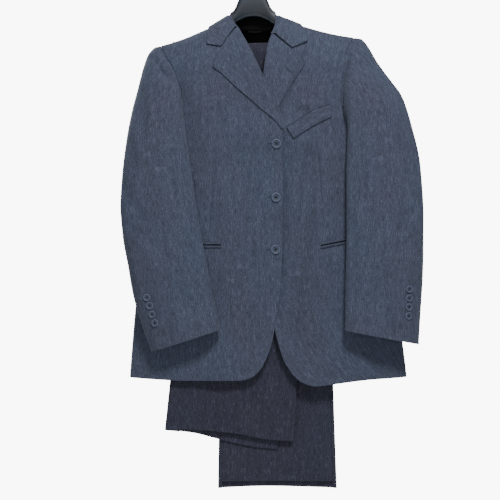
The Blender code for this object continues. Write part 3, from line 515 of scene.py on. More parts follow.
# share of the way from hem to shoulder, x and drop of the front's free edge, roll line and neck
edgeRight = [(0, 22, 862), (0.05, 40, 818), (0.1, 48, 775), (0.2, 58, 700), (0.3, 62.5, 610),
             (0.4, 63.3, 520), (0.5, 63.2, 438), (0.57, 63.6, 374), (0.62, 59, 347), (0.7, 42, 310),
             (0.8, 19, 261), (0.9, -9, 200), (0.955, -32.5, 159), (1, -60, 146.5)]
edgeLeft = [(0, 83, 877), (0.04, 66, 848), (0.08, 54.3, 813), (0.13, 46, 775), (0.2, 38, 715),
            (0.3, 33.5, 620), (0.5, 33, 438), (0.57, 31, 378), (0.65, 25.5, 335), (0.73, 23.5, 300),
            (0.79, 25, 271), (0.85, 29, 240), (0.91, 33, 209), (0.965, 44, 174), (1, 72, 142)]
# x, drop of the hem
hemRight = [(-255.5, 886), (-139, 891), (-24.5, 890.5), (-1, 884), (11, 875), (22, 862)]
hemLeft = [(83, 877), (103, 894), (131.5, 902.5), (169.5, 898.5), (238, 890), (324.5, 885)]
hemBack = [(-255.5, 886), (34, 880), (324.5, 885)]
# where the front darts lie across each front, and the drops between which they are sewn
dartRight = (0.463, 368, 596)
dartLeft = (0.52, 372, 602)


def foldDepth(folds, x, drop):
    total = jacket["ripple"] * noise.noise(Vector((x / 46, drop / 88, len(folds))))
    for x0, d0, x1, d1, width, depth in folds:
        length = (x1 - x0) ** 2 + (d1 - d0) ** 2
        t = ((x - x0) * (x1 - x0) + (drop - d0) * (d1 - d0)) / length
        past = max(0.0, -t, t - 1) * math.sqrt(length)
        t = clamp(t, 0, 1)
        away = math.hypot(x - mix(x0, x1, t), drop - mix(d0, d1, t))
        if away < 3 * width + past:
            total += depth * math.exp(-((away / width) ** 2))
    return total


# The jacket's outer surface at x and drop, lifted by a height; gives x, y and drop.
def skin(x, drop, face, lift=0.0, plain=False):
    left, right = read(bodyWidths, drop, 1), read(bodyWidths, drop, 2)
    depth = read(bodyWidths, drop, 3 if face == "front" else 4)
    u = clamp(abs(2 * x - left - right) / (right - left), 0, 1)
    depth *= (1 - u ** jacket["roundness"]) ** (1 / jacket["roundness"])
    ridge = read(shoulderLine, x)
    fall = clamp((drop - ridge) / jacket["round"], 0, 1)
    sine = math.sqrt(1 - (1 - fall) ** 2)
    y = depth * sine
    if not plain:
        y -= foldDepth(frontFolds if face == "front" else backFolds, x, drop) * sine * (1 - u ** 6)
    across = sine / max(depth, 4)
    up = (1 - fall) / jacket["round"]
    size = math.hypot(across, up) or 1.0
    y = max(y, 0) + jacket["seam"] + lift * across / size
    drop = max(drop, ridge) - lift * up / size
    return (x, -y if face == "front" else y, drop)


# How far the right front stands off so that the left front and its lapel lie under it.
def overlap(x, drop):
    amount = mix(jacket["lapUnderLapel"], jacket["lapBelow"], ease((drop - 385) / 45))
    return amount * ease((x + 35) / 55)


def rightFront(x, drop, lift=0.0):
    return skin(x, drop, "front", lift + overlap(x, drop))


# The left front falls away beside the right front's edge.
def leftFront(x, drop, lift=0.0):
    dip = jacket["lapTrough"] * math.exp(-(((x - 59) / 19) ** 2))
    dip *= ease((drop - 350) / 70)
    dip *= ease((840 - drop) / 90)
    return skin(x, drop, "front", lift - dip)


def holePoint(side, share, face):
    hole = holeRight if side == "right" else holeLeft
    top = (-190, 193) if side == "right" else (212, 175.5)
    under = (read(bodyWidths, jacket["underarm"], 1 if side == "right" else 2), jacket["underarm"])
    bow = read(hole, share, 1 if face == "front" else 2)
    inward = 1 if side == "right" else -1
    return mix(top[0], under[0], share) + inward * bow, mix(top[1], under[1], share)


def sidePoint(side, share, face, hem):
    if share < 0.6:
        foot = hem[0][1] if side == "right" else hem[-1][1]
        drop = mix(foot, jacket["underarm"], share / 0.6)
        return read(bodyWidths, drop, 1 if side == "right" else 2), drop
    return holePoint(side, 1 - (share - 0.6) / 0.4, face)


def toShoulder(row, u):
    return ease((row - 0.9) / 0.1) * mix(ease(5 * u), 1, ease((row - 0.965) / 0.03))


bodyRows = [mix(0, 0.6, i / 104) for i in range(104)] + [mix(0.6, 0.93, i / 62) for i in range(62)]
bodyRows += [mix(0.93, 1, i / 22) for i in range(23)]


# Shares across a front, with narrow columns at the dart so that its seam can be drawn.
def dartColumns(count, dart):
    kept = [u for u in spread(count, 0.8) if abs(u - dart) > 0.012]
    return sorted(kept + [dart + k * 0.0035 for k in (-2, -1, 0, 1, 2)])


# A front's first three columns are the seam allowance, turned in at the side seam under the back.
def frontPanel(side, edge, hem, surface, dart):
    points = []
    ends = sidePoint(side, 0, "front", hem), (read(edge, 0, 1), read(edge, 0, 2))
    for row in bodyRows:
        outer = sidePoint(side, row, "front", hem)
        inner = read(edge, row, 1), read(edge, row, 2)
        outward = -1 if side == "right" else 1
        whole = clamp((0.62 - row) / 0.02, 0.04, 1)
        line = [(outer[0] - outward * depth * whole, behind * whole, outer[1])
                for depth, behind in ((2.6, 6.0), (2.5, 2.5), (2.0, 0.3))]
        for u in dartColumns(66, dart[0]):
            x, drop = mix(outer[0], inner[0], u), mix(outer[1], inner[1], u)
            dip = read(hem, mix(ends[0][0], ends[1][0], u)) - mix(ends[0][1], ends[1][1], u)
            drop += dip * max(0, 1 - row / 0.15)
            drop += (read(shoulderLine, x) - drop) * toShoulder(row, u) * ease(8 * (1 - u))
            sewn = ease((drop - dart[1]) / 25) * ease((dart[2] - drop) / 20)
            dent = jacket["dartDepth"] * sewn * math.exp(-((u - dart[0]) * 260 / jacket["dartWidth"]) ** 2)
            line.append(surface(x, drop, -dent))
        points.append(line)
    return points


rightPanel = frontPanel("right", edgeRight, hemRight, rightFront, dartRight)
leftPanel = frontPanel("left", edgeLeft, hemLeft, leftFront, dartLeft)
columnsRight, columnsLeft = len(rightPanel[0]), len(leftPanel[0])
pieces = {}
pieces["frontRight"] = clothShell("front right", rightPanel, jacketWool, jacket["cloth"], False,
                                  columnsRight - 1, [row[-1][0] for row in rightPanel])
pieces["frontLeft"] = clothShell("front left", leftPanel, jacketWool, jacket["cloth"], True, columnsLeft - 1,
                                 [row[-1][0] for row in leftPanel])
print("fronts made")


def backTop(x):
    if x < -58 or x > 70:
        return read(shoulderLine, x)
    dip = ease((x + 58) / 16) if x < 4 else ease((70 - x) / 16)
    return mix(read(shoulderLine, x), 151.5, dip)


def backPanel(side):
    points = []
    for row in bodyRows:
        outer = sidePoint(side, row, "back", hemBack)
        innerX = mix(34, 4, ease(row))
        line = []
        for u in spread(60, 0.8):
            x = mix(outer[0], innerX, u)
            foot, top = read(hemBack, x), backTop(x)
            level = mix(outer[1], mix(foot, top, row), ease(u * 1.6))
            level = mix(level, top, toShoulder(row, u))
            seam = jacket["seam"] if side == "left" else -jacket["seam"]
            dent = 0.8 * math.exp(-((1 - u) * 260 / 1.8) ** 2)
            line.append(skin(x + seam * u, max(level, top), "back", -dent))
        points.append(line)
    return points


for side in ("right", "left"):
    panel = backPanel(side)
    pieces["back" + side] = clothShell("back " + side, panel, jacketWool, jacket["cloth"], side == "right",
                                       len(panel[0]) - 1, [row[-1][0] for row in panel])
print("backs made")


# Sleeves.

sleeve = {
    "round": 2.3,
    "frontSeam": 218.0,
    "gapAngle": 0.9,
    "backGap": 0.55,
    "narrow": 0.02,
    "ripple": 0.7,
}
# station; outer edge x, drop, y; inner edge x, drop, y; depth in front, depth behind
sleeveRight = [(1, -204, 195.5, -2, -145, 333, -46, 46, 33), (2, -216, 210, -8, -142, 343, -49, 44, 29),
               (3, -226, 238, -18, -139.5, 353, -51, 40, 25), (4, -237, 282, -30, -137, 366, -53, 36, 21),
               (5, -249, 335, -40, -134.5, 385, -55, 33, 18), (6, -259, 395, -48, -131, 410, -57, 31, 16),
               (7, -268, 465, -51, -123, 463, -59, 30, 15), (8, -273.6, 527, -52, -113, 530, -61, 30, 15),
               (9, -268, 590, -53, -102, 595, -61, 30, 15), (10, -256, 655, -54, -90, 660, -61, 29, 15),
               (11, -243, 713, -54, -79.5, 712, -61, 28, 15), (12, -228, 772, -54, -70, 752, -61, 27, 15),
               (13, -207.2, 829.5, -54, -63.2, 783, -61, 26, 15)]
sleeveLeft = [(1, 230, 177.5, -2, 188, 336, -46, 46, 33), (2, 240, 190, -8, 191, 344, -49, 44, 29),
              (3, 262.5, 230, -18, 194, 354, -51, 40, 25), (4, 289, 268, -30, 195.5, 368, -53, 36, 21),
              (5, 310, 300, -38, 195, 389, -55, 33, 18), (6, 328, 357, -45, 193.5, 420, -57, 31, 16),
              (7, 348, 446, -49, 192, 475, -59, 30, 15), (8, 356, 545, -51, 192.5, 545, -61, 30, 15),
              (9, 355, 620, -52, 192.8, 600, -61, 30, 15), (10, 353, 678, -53, 191.5, 665, -61, 29, 15),
              (11, 350, 725, -53, 190.5, 712, -61, 28, 15), (12, 347, 770, -53, 190.2, 750, -61, 27, 15),
              (13, 344.4, 814, -54, 189.8, 785, -61, 26, 15)]
stations = [0, 0.2, 0.45, 0.75, 1.1, 1.5, 1.9, 2.3, 2.8, 3.3, 4, 5, 6, 7, 8, 9, 10, 11, 12, 13]
belowArm = [219, 220.5, 225, 229.5, 231.4, 232, 233, 235.5, 241, 250]
# creases in the front of each sleeve: x, drop at the top; x, drop at the foot; half width, depth
sleeveFolds = {
    "right": [(-206, 222, -184, 258, 7, 5.1), (-184, 258, -160, 272, 6, 4.3), (-203, 288, -200, 322, 9, 4.3),
              (-198, 342, -190, 440, 12, 3.9), (-232, 300, -208, 520, 20, -4.7),
              (-214, 430, -186, 640, 17, 3.9), (-262, 498, -222, 560, 12, 3.8),
              (-258, 566, -206, 606, 10, 3.2), (-168, 430, -142, 620, 15, -3.4),
              (-176, 300, -166, 400, 11, 3.4), (-226, 640, -200, 752, 12, 3.0),
              (-158, 640, -128, 740, 13, 3.2), (-116, 690, -96, 764, 10, -2.5),
              (-244, 360, -240, 470, 11, 2.7)],
    "left": [(222, 240, 214, 520, 13, 4.3), (262, 300, 282, 560, 24, -5.1), (322, 420, 300, 640, 17, 3.9),
             (240, 520, 236, 770, 15, 3.4), (298, 650, 301, 790, 9, 3.8), (342, 520, 300, 584, 10, 3.2),
             (338, 590, 292, 630, 9, 2.7), (214, 196, 232, 250, 9, 3.4), (246, 236, 268, 330, 13, 3.2),
             (270, 620, 268, 780, 14, -3.0), (206, 560, 208, 740, 8, -2.7), (318, 340, 326, 430, 12, 2.7)],
}
# and in the side that the photo doesn't show
sleeveBackFolds = {
    "right": [(-222, 330, -200, 520, 16, 2.7), (-180, 430, -160, 640, 14, -2.4),
              (-256, 520, -214, 590, 11, 2.4), (-150, 560, -120, 720, 12, 2.2),
              (-206, 620, -180, 760, 12, 2.0)],
    "left": [(250, 300, 262, 520, 16, 2.7), (300, 420, 290, 640, 14, -2.4), (338, 540, 300, 600, 11, 2.4),
             (220, 520, 224, 720, 12, 2.2), (280, 640, 276, 790, 12, 2.0)],
}


def bodyBorder(side, drop, face):
    if drop >= jacket["underarm"]:
        return read(bodyWidths, drop, 1 if side == "right" else 2)
    top = 193 if side == "right" else 175.5
    return holePoint(side, clamp((drop - top) / (jacket["underarm"] - top), 0, 1), face)[0]


# Below the underarm, moves a point straight away from a line inside the body's side until it is clear of it.
def roundSide(side, point, margin):
    x, y, drop = point
    outward = -1 if side == "right" else 1
    face = "front" if y < 0 else "back"
    border = bodyBorder(side, drop, face)
    centre = border - outward * 35
    reach = math.hypot(x - centre, y)
    across, ahead = (x - centre) / reach, y / reach
    edge = 0.0
    while outward * (border - centre - across * edge) > 0:
        if abs(ahead * edge) > abs(skin(centre + across * edge, drop, face)[1]):
            break
        edge += 0.5
    reach = max(reach, edge + margin)
    return (centre + across * reach, ahead * reach, drop)


# Moves a point of a sleeve out of the body, sideways or to the front, and round the armhole's edge.
def keepOff(side, point, station):
    x, y, drop = point
    margin, aside = min(5.5, 2 + 8 * station), min(5, 3.2 + 5 * station)
    outward = -1 if side == "right" else 1
    if drop >= jacket["underarm"] and station < 5:
        return roundSide(side, point, margin)
    face = "front" if y < 0 else "back"
    border = bodyBorder(side, drop, face)
    inside = outward * (border - x)
    level = skin(x, drop, face)[1]
    if face == "back":
        if inside > -aside and y < level + margin:
            x = border + outward * aside
        return (x, y, drop)
    toFront = y - (level - margin)
    if inside > 0 and toFront <= 0:
        return point
    if inside > 0 and inside + aside >= toFront:
        return (x, y - toFront, drop)
    if inside > -aside:
        x, inside = border + outward * aside, -aside
    limit = skin(border, drop, "front")[1] - margin - 1.2 * inside
    return (x, min(y, limit), drop)


# Where a sleeve is set in: round the armhole, with its inner edge low on the front.
def setIn(side, angle, closer=None, below=None):
    inner = 0.84
    if angle <= 180:
        x, drop = holePoint(side, inner * (1 - math.cos(math.radians(angle))) / 2, "front")
        face = "front"
    elif angle < 232:
        x, drop = holePoint(side, mix(inner, 1, (angle - 180) / 52), "front")
        face = "front"
    else:
        share = 1 - (angle - 232) / 128
        x, drop = holePoint(side, 1 - math.cos(share * math.pi / 2) if share < 1 else 1, "back")
        face = "back"
    outward = -1 if side == "right" else 1
    lift = 2.0 * ease((angle - 165) / 15) * ease((290 - angle) / 12)
    aside = 1.8 + 1.8 * ease((drop - 338) / 8)
    if closer is not None:
        aside, lift = closer, below
    return skin(x + outward * aside, drop - 0.9 * ease((drop - 322) / 15), face, lift)


# A point of a sleeve at a station along it and an angle round it: 0 outer edge, 90 front, 180 inner edge.
def sleevePoint(side, station, angle):
    table = sleeveRight if side == "right" else sleeveLeft
    angle = angle % 360
    cosine, sine = math.cos(math.radians(angle)), math.sin(math.radians(angle))
    share = (1 - cosine) / 2
    at = max(station, 1)
    ox, od, oy, ix, idrop, iy, ahead, behind = [read(table, at, k) for k in range(1, 9)]
    if station < 1:
        start, end = setIn(side, 0), setIn(side, 180)
        ox, od, oy = mix(start[0], ox, station), mix(start[2], od, station), mix(start[1], oy, station)
        ix, idrop, iy = mix(end[0], ix, station), mix(end[2], idrop, station), mix(end[1], iy, station)
    roundOut = (1 - abs(cosine) ** sleeve["round"]) ** (1 / sleeve["round"])
    x, drop = mix(ox, ix, share), mix(od, idrop, share)
    y = mix(oy, iy, share) + (-ahead if sine >= 0 else behind) * roundOut
    if station < 6:
        start, end, here = setIn(side, 0), setIn(side, 180), setIn(side, angle)
        weight = ease(station / 6)
        sx = here[0] + mix(ox - start[0], ix - end[0], share)
        sy = here[1] + mix(oy - start[1], iy - end[1], share) - 16 * ease(station) * max(sine, 0)
        sd = here[2] + mix(od - start[2], idrop - end[2], share)
        x, y, drop = mix(sx, x, weight), mix(sy, y, weight), mix(sd, drop, weight)
    if station > 0:
        x, y, drop = keepOff(side, (x, y, drop), station)
    return (x, y, drop)


def backSeam(station):
    return mix(-28, 34, ease((station - 1) / 10))


def seamed(count, narrow):
    return [0, narrow] + [mix(narrow, 1 - narrow, i / count) for i in range(1, count)] + [1 - narrow, 1]


def topAngles(station):
    first, last = backSeam(station) + sleeve["backGap"], sleeve["frontSeam"] - sleeve["gapAngle"]
    return [mix(first, last, share) for share in seamed(9, sleeve["narrow"])]


def underAngles(station):
    last = 360 + backSeam(station) - sleeve["backGap"]
    return belowArm + [mix(250, last, share) for share in (0.16, 0.33, 0.52, 0.74, 0.97, 1)]


# How deep the creases of a list press in at a point, added to a faint ripple. Past a reach, given as the
# square of its number of half widths, a crease no longer counts.
def creaseDepth(folds, x, drop, ripple, reach=math.inf):
    total = ripple
    for x0, d0, x1, d1, width, depth in folds:
        length = (x1 - x0) ** 2 + (d1 - d0) ** 2
        t = clamp(((x - x0) * (x1 - x0) + (drop - d0) * (d1 - d0)) / length, 0, 1)
        away = (x - mix(x0, x1, t)) ** 2 + (drop - mix(d0, d1, t)) ** 2
        if away < reach * width * width:
            total += depth * math.exp(-away / width ** 2)
    return total


# Presses creases into a fine sleeve grid, by how squarely each point faces the front or the back.
def creaseSleeve(points, side, angles):
    for r in range(points.shape[0]):
        for c in range(points.shape[1]):
            facing = math.sin(math.radians(angles[c]))
            x, drop = points[r, c, 0], points[r, c, 2]
            folds = sleeveFolds[side] if facing > 0 else sleeveBackFolds[side]
            ripple = sleeve["ripple"] * noise.noise(Vector((x / 38, drop / 70, 3 if facing > 0 else 9)))
            amount = creaseDepth(folds, x, drop, ripple, 9)
            quiet = ease(r / 14) * min(1, abs(facing) * 1.6) ** 1.2
            points[r, c, 1] += math.copysign(amount * quiet, facing)
    return points


# how far aside and how high the two rows lie that are turned in under the armhole's edge, to close the seam
sleeveAllowance = [(-3.0, -2.7), (0.3, -2.5)]
stationSteps = [max(3, math.ceil((b - a) * 15)) for a, b in zip(stations, stations[1:])]
sleeveGrids = {}
for side in ("right", "left"):
    for part, angles in (("top", topAngles), ("under", underAngles)):
        coarse = [[sleevePoint(side, station, angle) for angle in angles(station)] for station in stations]
        count = len(coarse[0])
        steps = [1 if part == "top" and i in (0, count - 2) else 4 for i in range(count - 1)]
        if part == "under":
            steps = [1, 1, 2, 2, 1, 1, 1, 2, 3] + [5] * (count - 12) + [5, 1]
        fine = relax(refine(coarse, stationSteps, steps), 4)
        middle = [angles(7)[i] for i in range(count)]
        turns = []
        for i, step in enumerate(steps):
            turns += [mix(middle[i], middle[i + 1], k / step) for k in range(step)]
        turns.append(middle[-1])
        fine = creaseSleeve(fine, side, turns)
        allowance = [[setIn(side, angle, aside, lift) for angle in angles(0)]
                     for aside, lift in sleeveAllowance]
        allowance = refine(allowance, 1, steps)
        fine = np.concatenate([allowance, fine])
        sleeveGrids[part + side] = fine
        name = part + " sleeve " + side
        pieces[part + "Sleeve" + side] = clothShell(name, fine, jacketWool, jacket["cloth"], side == "right",
                                                    fine.shape[1] // 2)
print("sleeves made")


# Lapels and collar.

# x, drop on the roll line; x, drop on the lapel's edge
lapelRight = [(63.2, 371, 61, 371), (59, 347, 50, 356.5), (50, 328, 33, 341.5), (41, 308, 14, 326),
              (31, 286, -8, 306), (20, 263, -28, 289), (8.5, 238, -47, 271), (-3, 213, -65, 254),
              (-16, 188, -81, 240), (-31.5, 160, -63.5, 206)]
lapelLeft = [(31.3, 378, 33.3, 377), (27, 348, 41.5, 351), (24.5, 322, 56, 323), (23.5, 297, 70, 298),
             (25, 271, 85, 274), (29, 240, 98, 254), (33, 212, 105.5, 241.5), (38, 190, 108.7, 232.5),
             (43.5, 175.5, 82.5, 207)]
# neck seam x, y, drop; fold x, y, drop; outer edge x and its distance behind the shoulder line
collarLine = [(-28.5, -34, 158.5, -31, -39, 157, -63.5, -55), (-29.5, -31, 156.5, -33.5, -35, 152, -93, -38),
              (-35, -25, 153.5, -38, -27, 143, -92.5, -20), (-46, -17, 148.5, -43.4, -19, 131.5, -91.5, -7),
              (-53, -10, 146, -49, -11, 130, -90.5, -2), (-55, 1, 144, -52, 1, 129.5, -87, 2),
              (-52, 14, 144.5, -50, 15, 127, -79, 9), (-40, 23, 147, -38, 25.5, 121, -60, 24),
              (-20, 27, 149, -18, 30, 116.5, -32, 36), (4, 28, 150.5, 3, 30.5, 115.5, 4, 41),
              (28, 27, 149, 25, 30, 116.5, 40, 36), (52, 22, 144, 45, 25.5, 121.5, 70, 24),
              (63, 14, 139, 56, 15, 127.5, 90, 9), (66, 1, 138, 59, 1, 130.5, 97.5, 2),
              (62, -10, 140.5, 56, -11, 130.5, 102, -2), (56, -19, 147.5, 50.5, -19, 132.5, 105, -6),
              (48.5, -27, 156.5, 48, -29, 149, 111, -19.5), (41.5, -37, 167.5, 45, -39.5, 163.5, 116, -34.5),
              (38.5, -43, 172.5, 43, -47, 172.5, 82.5, -58.5)]


# Reads a table's rows smoothly, but straight between its last two, and its first two if asked, which gives
# a sharp corner.
def readCorner(table, at, both=False):
    last = len(table) - 2
    if at > last or (both and at < 1):
        i = last if at > last else 0
        return [mix(a, b, at - i) for a, b in zip(table[i], table[i + 1])]
    return readRow(table, at)


# share of the way from the roll line to the lapel's edge, height over the front
lapelRise = [(0, 3.6), (0.06, 4.2), (0.2, 4.1), (0.45, 3.7), (0.72, 3.4), (0.9, 3.3), (1, 3.2)]


def lapelGrid(table, surface, inward):
    grid = []
    for i in range(8 * (len(table) - 1) + 1):
        rx, rd, ex, ed = readCorner(table, i / 8)
        roll = clamp(math.hypot(ex - rx, ed - rd) / 20, 0.1, 1)
        roll *= 1 if inward > 0 else ease((290 - rd) / 30)
        line = [surface(rx + inward * 4.0, rd, -0.6)]
        for share, height in lapelRise:
            height = mix(2.8 if inward > 0 else 2.6, height, roll)
            start = rx + inward * (2.6 if share == 0 else 0)
            line.append(surface(mix(start, ex, share), mix(rd, ed, share), height))
        grid.append(line)
    return refine(grid, 1, [4, 4, 4, 5, 5, 4, 3])


rightLapel = lapelGrid(lapelRight, rightFront, 1)
leftLapel = lapelGrid(lapelLeft, leftFront, -1)
pieces["lapelRight"] = clothShell("lapel right", rightLapel, jacketWool, jacket["cloth"], True, 8)
pieces["lapelLeft"] = clothShell("lapel left", leftLapel, jacketWool, jacket["cloth"], False, 8)


# Moves a point near the shoulders straight out of the body until it stands a lift above the cloth.
def pushOut(point, lift):
    x, y, drop = point
    left, right = read(bodyWidths, drop, 1), read(bodyWidths, drop, 2)
    u = clamp(abs(2 * x - left - right) / (right - left), 0, 1)
    depth = read(bodyWidths, drop, 3 if y < 0 else 4)
    depth *= (1 - u ** jacket["roundness"]) ** (1 / jacket["roundness"])
    centre = read(shoulderLine, x) + jacket["round"]
    across, up = y / depth, max((centre - drop) / jacket["round"], 0)
    size = math.hypot(across, up)
    need = 1 + lift * math.hypot(across / size / depth, up / size / jacket["round"])
    if size >= need:
        return point
    return (x, y * need / size, centre - up * need / size * jacket["round"])


def collarGrid():
    grid = []
    for i in range(8 * (len(collarLine) - 1) + 1):
        nx, ny, nd, fx, fy, fd, ox, behind = readCorner(collarLine, i / 8, True)
        face = "front" if behind < 0 else "back"
        edge = skin(ox, read(shoulderLine, ox) + abs(behind), face, 4.0, plain=True)
        size = math.hypot(edge[0] - nx, edge[1] - ny)
        ax, ay = (edge[0] - nx) / size, (edge[1] - ny) / size
        line = [(nx, ny, nd), (mix(nx, fx, 0.6), mix(ny, fy, 0.6), mix(nd, fd, 0.6))]
        line.append((fx - ax * 0.2, fy - ay * 0.2, fd + 1.0))
        line.append((fx + ax * 1.8, fy + ay * 1.8, fd))
        start = (fx + ax * 4.6, fy + ay * 4.6, fd + 1.6)
        for share, lift in ((0, 6.5), (0.2, 6.2), (0.4, 5.8), (0.6, 5.2), (0.8, 4.6), (1, 4.0)):
            line.append(pushOut([mix(start[k], edge[k], share) for k in range(3)], lift))
        grid.append(line)
    return refine(grid, 1, [3, 3, 2, 3, 3, 3, 3, 3, 3])


pieces["collar"] = clothShell("collar", collarGrid(), jacketWool, jacket["cloth"], True, 9)
print("lapels and collar made")


# Pockets.

pockets = {
    "jet": 5.8,
    "mouth": 1.0,
    "jetCloth": 1.3,
    "weltCloth": 1.6,
}
# x, drop along the mouth of each hip pocket, then along the top and foot of the breast welt
pocketRight = [(-203, 603), (-150, 607), (-98.5, 609.5), (-63.5, 609.8)]
pocketLeft = [(142, 611), (181, 603.5), (220, 597), (260, 592)]
breastTop = [(71, 368), (103, 346.5), (135.5, 329), (162, 320)]
breastFoot = [(86, 391), (119, 368.5), (141, 357), (164, 346)]


def jetGrid(line, above, below, surface, height):
    grid = []
    for share in spread(60):
        x, drop = readRow(line, share * 3)
        row = []
        for across, rise in ((0, -0.1), (0.15, 0.35), (0.35, 0.55), (0.65, 0.55), (0.85, 0.35), (1, -0.1)):
            row.append(surface(x, drop + mix(above, below, across), height + rise))
        grid.append(row)
    return grid


for side, line, surface, height in (("right", pocketRight, rightFront, 2.3),
                                    ("left", pocketLeft, leftFront, 2.5)):
    for part, above, below in (("upper", -pockets["jet"], -pockets["mouth"]),
                               ("lower", pockets["mouth"], pockets["jet"])):
        grid = jetGrid(line, above, below, surface, height)
        pieces[part + "Jet" + side] = clothShell("jet " + part + " " + side, grid, jacketWool,
                                                 pockets["jetCloth"], False, 3, edge=0.4)

weltGrid = []
for share in spread(44):
    tx, td = readRow(breastTop, share * 3)
    bx, bd = readRow(breastFoot, share * 3)
    weltGrid.append([leftFront(mix(tx, bx, v), mix(td, bd, v), 2.8 + 0.35 * math.sin(math.pi * v))
                     for v in spread(14)])
pieces["breastWelt"] = clothShell("breast welt", weltGrid, jacketWool, pockets["weltCloth"], False, 7,
                                  edge=0.45)
print("pockets made")


# Lining at the back of the neck, and its hanging loop.

liningGrid = []
for share in spread(40):
    row = []
    for u in spread(64):
        x = mix(-92, 104, u)
        top = max(backTop(x) + 12, 143)
        drop = mix(top if abs(x - 4) > 40 else 129, 262, share)
        behind = 3.0 + mix(5.5, 2.2, ease((drop - 160) / 70))
        point = skin(x, max(drop, 152), "back", -behind, plain=True)
        gather = 0.5 * math.sin(x / 9 + 2 * noise.noise(Vector((x / 30, drop / 60, 5)))) * ease(share * 2)
        row.append((x, point[1] - gather * 0.5, min(drop, point[2]) if drop < 152 else point[2]))
    liningGrid.append(row)
pieces["neckLining"] = clothShell("neck lining", liningGrid, satin, 0.8, True, 32, edge=0.2)

loopGrid = []
for share in spread(6):
    row = []
    for u in spread(20):
        x = mix(-9, 21, u)
        sag = 1.2 * math.sin(math.pi * u)
        row.append((x, skin(x, 158, "back", plain=True)[1] - 9.75 + 0.25 * math.sin(math.pi * share),
                    mix(156, 161, share) + sag))
    loopGrid.append(row)
pieces["hangingLoop"] = clothShell("hanging loop", loopGrid, satin, 0.8, True, 10, edge=0.2)
print("lining made")


# Trousers: each leg a flattened tube up the front, over the bar and a little way down behind.

trousers = {
    "cloth": 1.2,
    "barDrop": 199.1,
    "tilt": 0.026,
    "waistEnd": 300.0,
    "waistband": 34.0,
    "outerLeg": 10.8,
    "innerLeg": 6.7,
    "ripple": 0.45,
    "smoothTo": 300,
    "hemRise": 9,
}
# share of the way from hem to bar, middle, half width, y, half thickness
legRight = [(0, -47.5, 134.5, -12, 5.5), (0.14, -38.3, 131.8, -13, 5.5), (0.4, -22, 127, -13, 4.5),
            (0.75, -4, 120, -11.5, 2.7), (1, 2, 114, -10.8, 1.9)]
legLeft = [(0, 53.5, 124.5, 1.5, 5), (0.25, 50.5, 119.5, 1, 5), (0.5, 36, 118, -2, 3.8),
           (0.8, 12, 115, -6, 2.3), (1, 2, 114, -6.7, 1.9)]
# x, drop of the hems
hemRightFront = [(-182, 993), (-151, 993.4), (-97, 995.4), (-51.7, 997.5), (-24.7, 1003.7), (8.4, 1010.9),
                 (47.8, 1016), (87, 1018)]
hemRightBack = [(-182, 995.4), (-149, 998.5), (-107.7, 1004.7), (-80.7, 1012), (-70, 1020), (-24.7, 1026.5),
                (16.7, 1032.7), (87, 1038)]
hemLeftFront = [(-71, 1104.5), (53, 1103), (178, 1104)]
hemLeftBack = [(-71, 1118.5), (30, 1115), (178, 1118.5)]
legStations = [0, 0.06, 0.15, 0.27, 0.42, 0.6, 0.8, 0.93, 1, 1.2, 1.4, 1.6, 1.8, 2, 2.5, 3]
# creases in the front layers of the legs: x, drop at the top; x, drop at the foot; half width, depth
legFolds = {
    "right": [(-30, 880, -34, 1000, 10, 0.9), (30, 860, 42, 1010, 9, -0.8), (-110, 900, -118, 990, 9, 0.8),
              (-60, 978, -20, 992, 4, 0.8), (64, 940, 70, 1014, 7, 0.7)],
    "left": [(30, 1078, 44, 1098, 3.5, 1.1), (46, 1092, 22, 1100, 3, 1.0), (100, 1000, 112, 1100, 10, 0.9),
             (-20, 1040, -28, 1100, 8, 0.8), (60, 1088, 92, 1096, 3, 0.7), (140, 1010, 146, 1100, 8, -0.8)],
}


def barDrop(x):
    return trousers["barDrop"] - (x - 2) * trousers["tilt"]


def legPoint(table, hem, station, angle, outer):
    cosine, sine = math.cos(math.radians(angle)), math.sin(math.radians(angle))
    wide = math.copysign(abs(cosine) ** 0.42, cosine)
    deep = math.copysign(abs(sine) ** 0.42, sine)
    share = clamp(station, 0, 1)
    middle, half, y, thick = [read(table, share, k) for k in range(1, 5)]
    x = middle + half * wide
    if station <= 1:
        return (x, y - thick * deep, mix(read(hem, x), barDrop(x), station))
    radius = outer + thick * deep
    if station <= 2:
        turn = math.pi * (station - 1)
        return (x, -radius * math.cos(turn), barDrop(x) - radius * math.sin(turn))
    return (x, radius, mix(barDrop(x), trousers["waistEnd"], station - 2))


def legGrid(side, table, hem, start, end, outer, folded):
    angles = [mix(start, end, share) for share in seamed(18, sleeve["narrow"])]
    coarse = [[legPoint(table, hem, station, angle, outer) for angle in angles] for station in legStations]
    rowSteps = [8, 10, 12, 14, 18, 20, 14, 8] + [6] * 5 + [8, 8]
    fine = refine(coarse, rowSteps, [1] + [3] * (len(angles) - 3) + [1])
    if not folded:
        return fine
    for r in range(fine.shape[0]):
        for c in range(fine.shape[1]):
            x, drop = fine[r, c, 0], fine[r, c, 2]
            if drop < trousers["smoothTo"]:
                continue
            ripple = trousers["ripple"] * noise.noise(Vector((x / 30, drop / 45, 21)))
            amount = creaseDepth(legFolds[side], x, drop, ripple)
            border = min(c, fine.shape[1] - 1 - c)
            fine[r, c, 1] += amount * ease((drop - trousers["smoothTo"]) / 120) * ease(border / 5)
    return fine


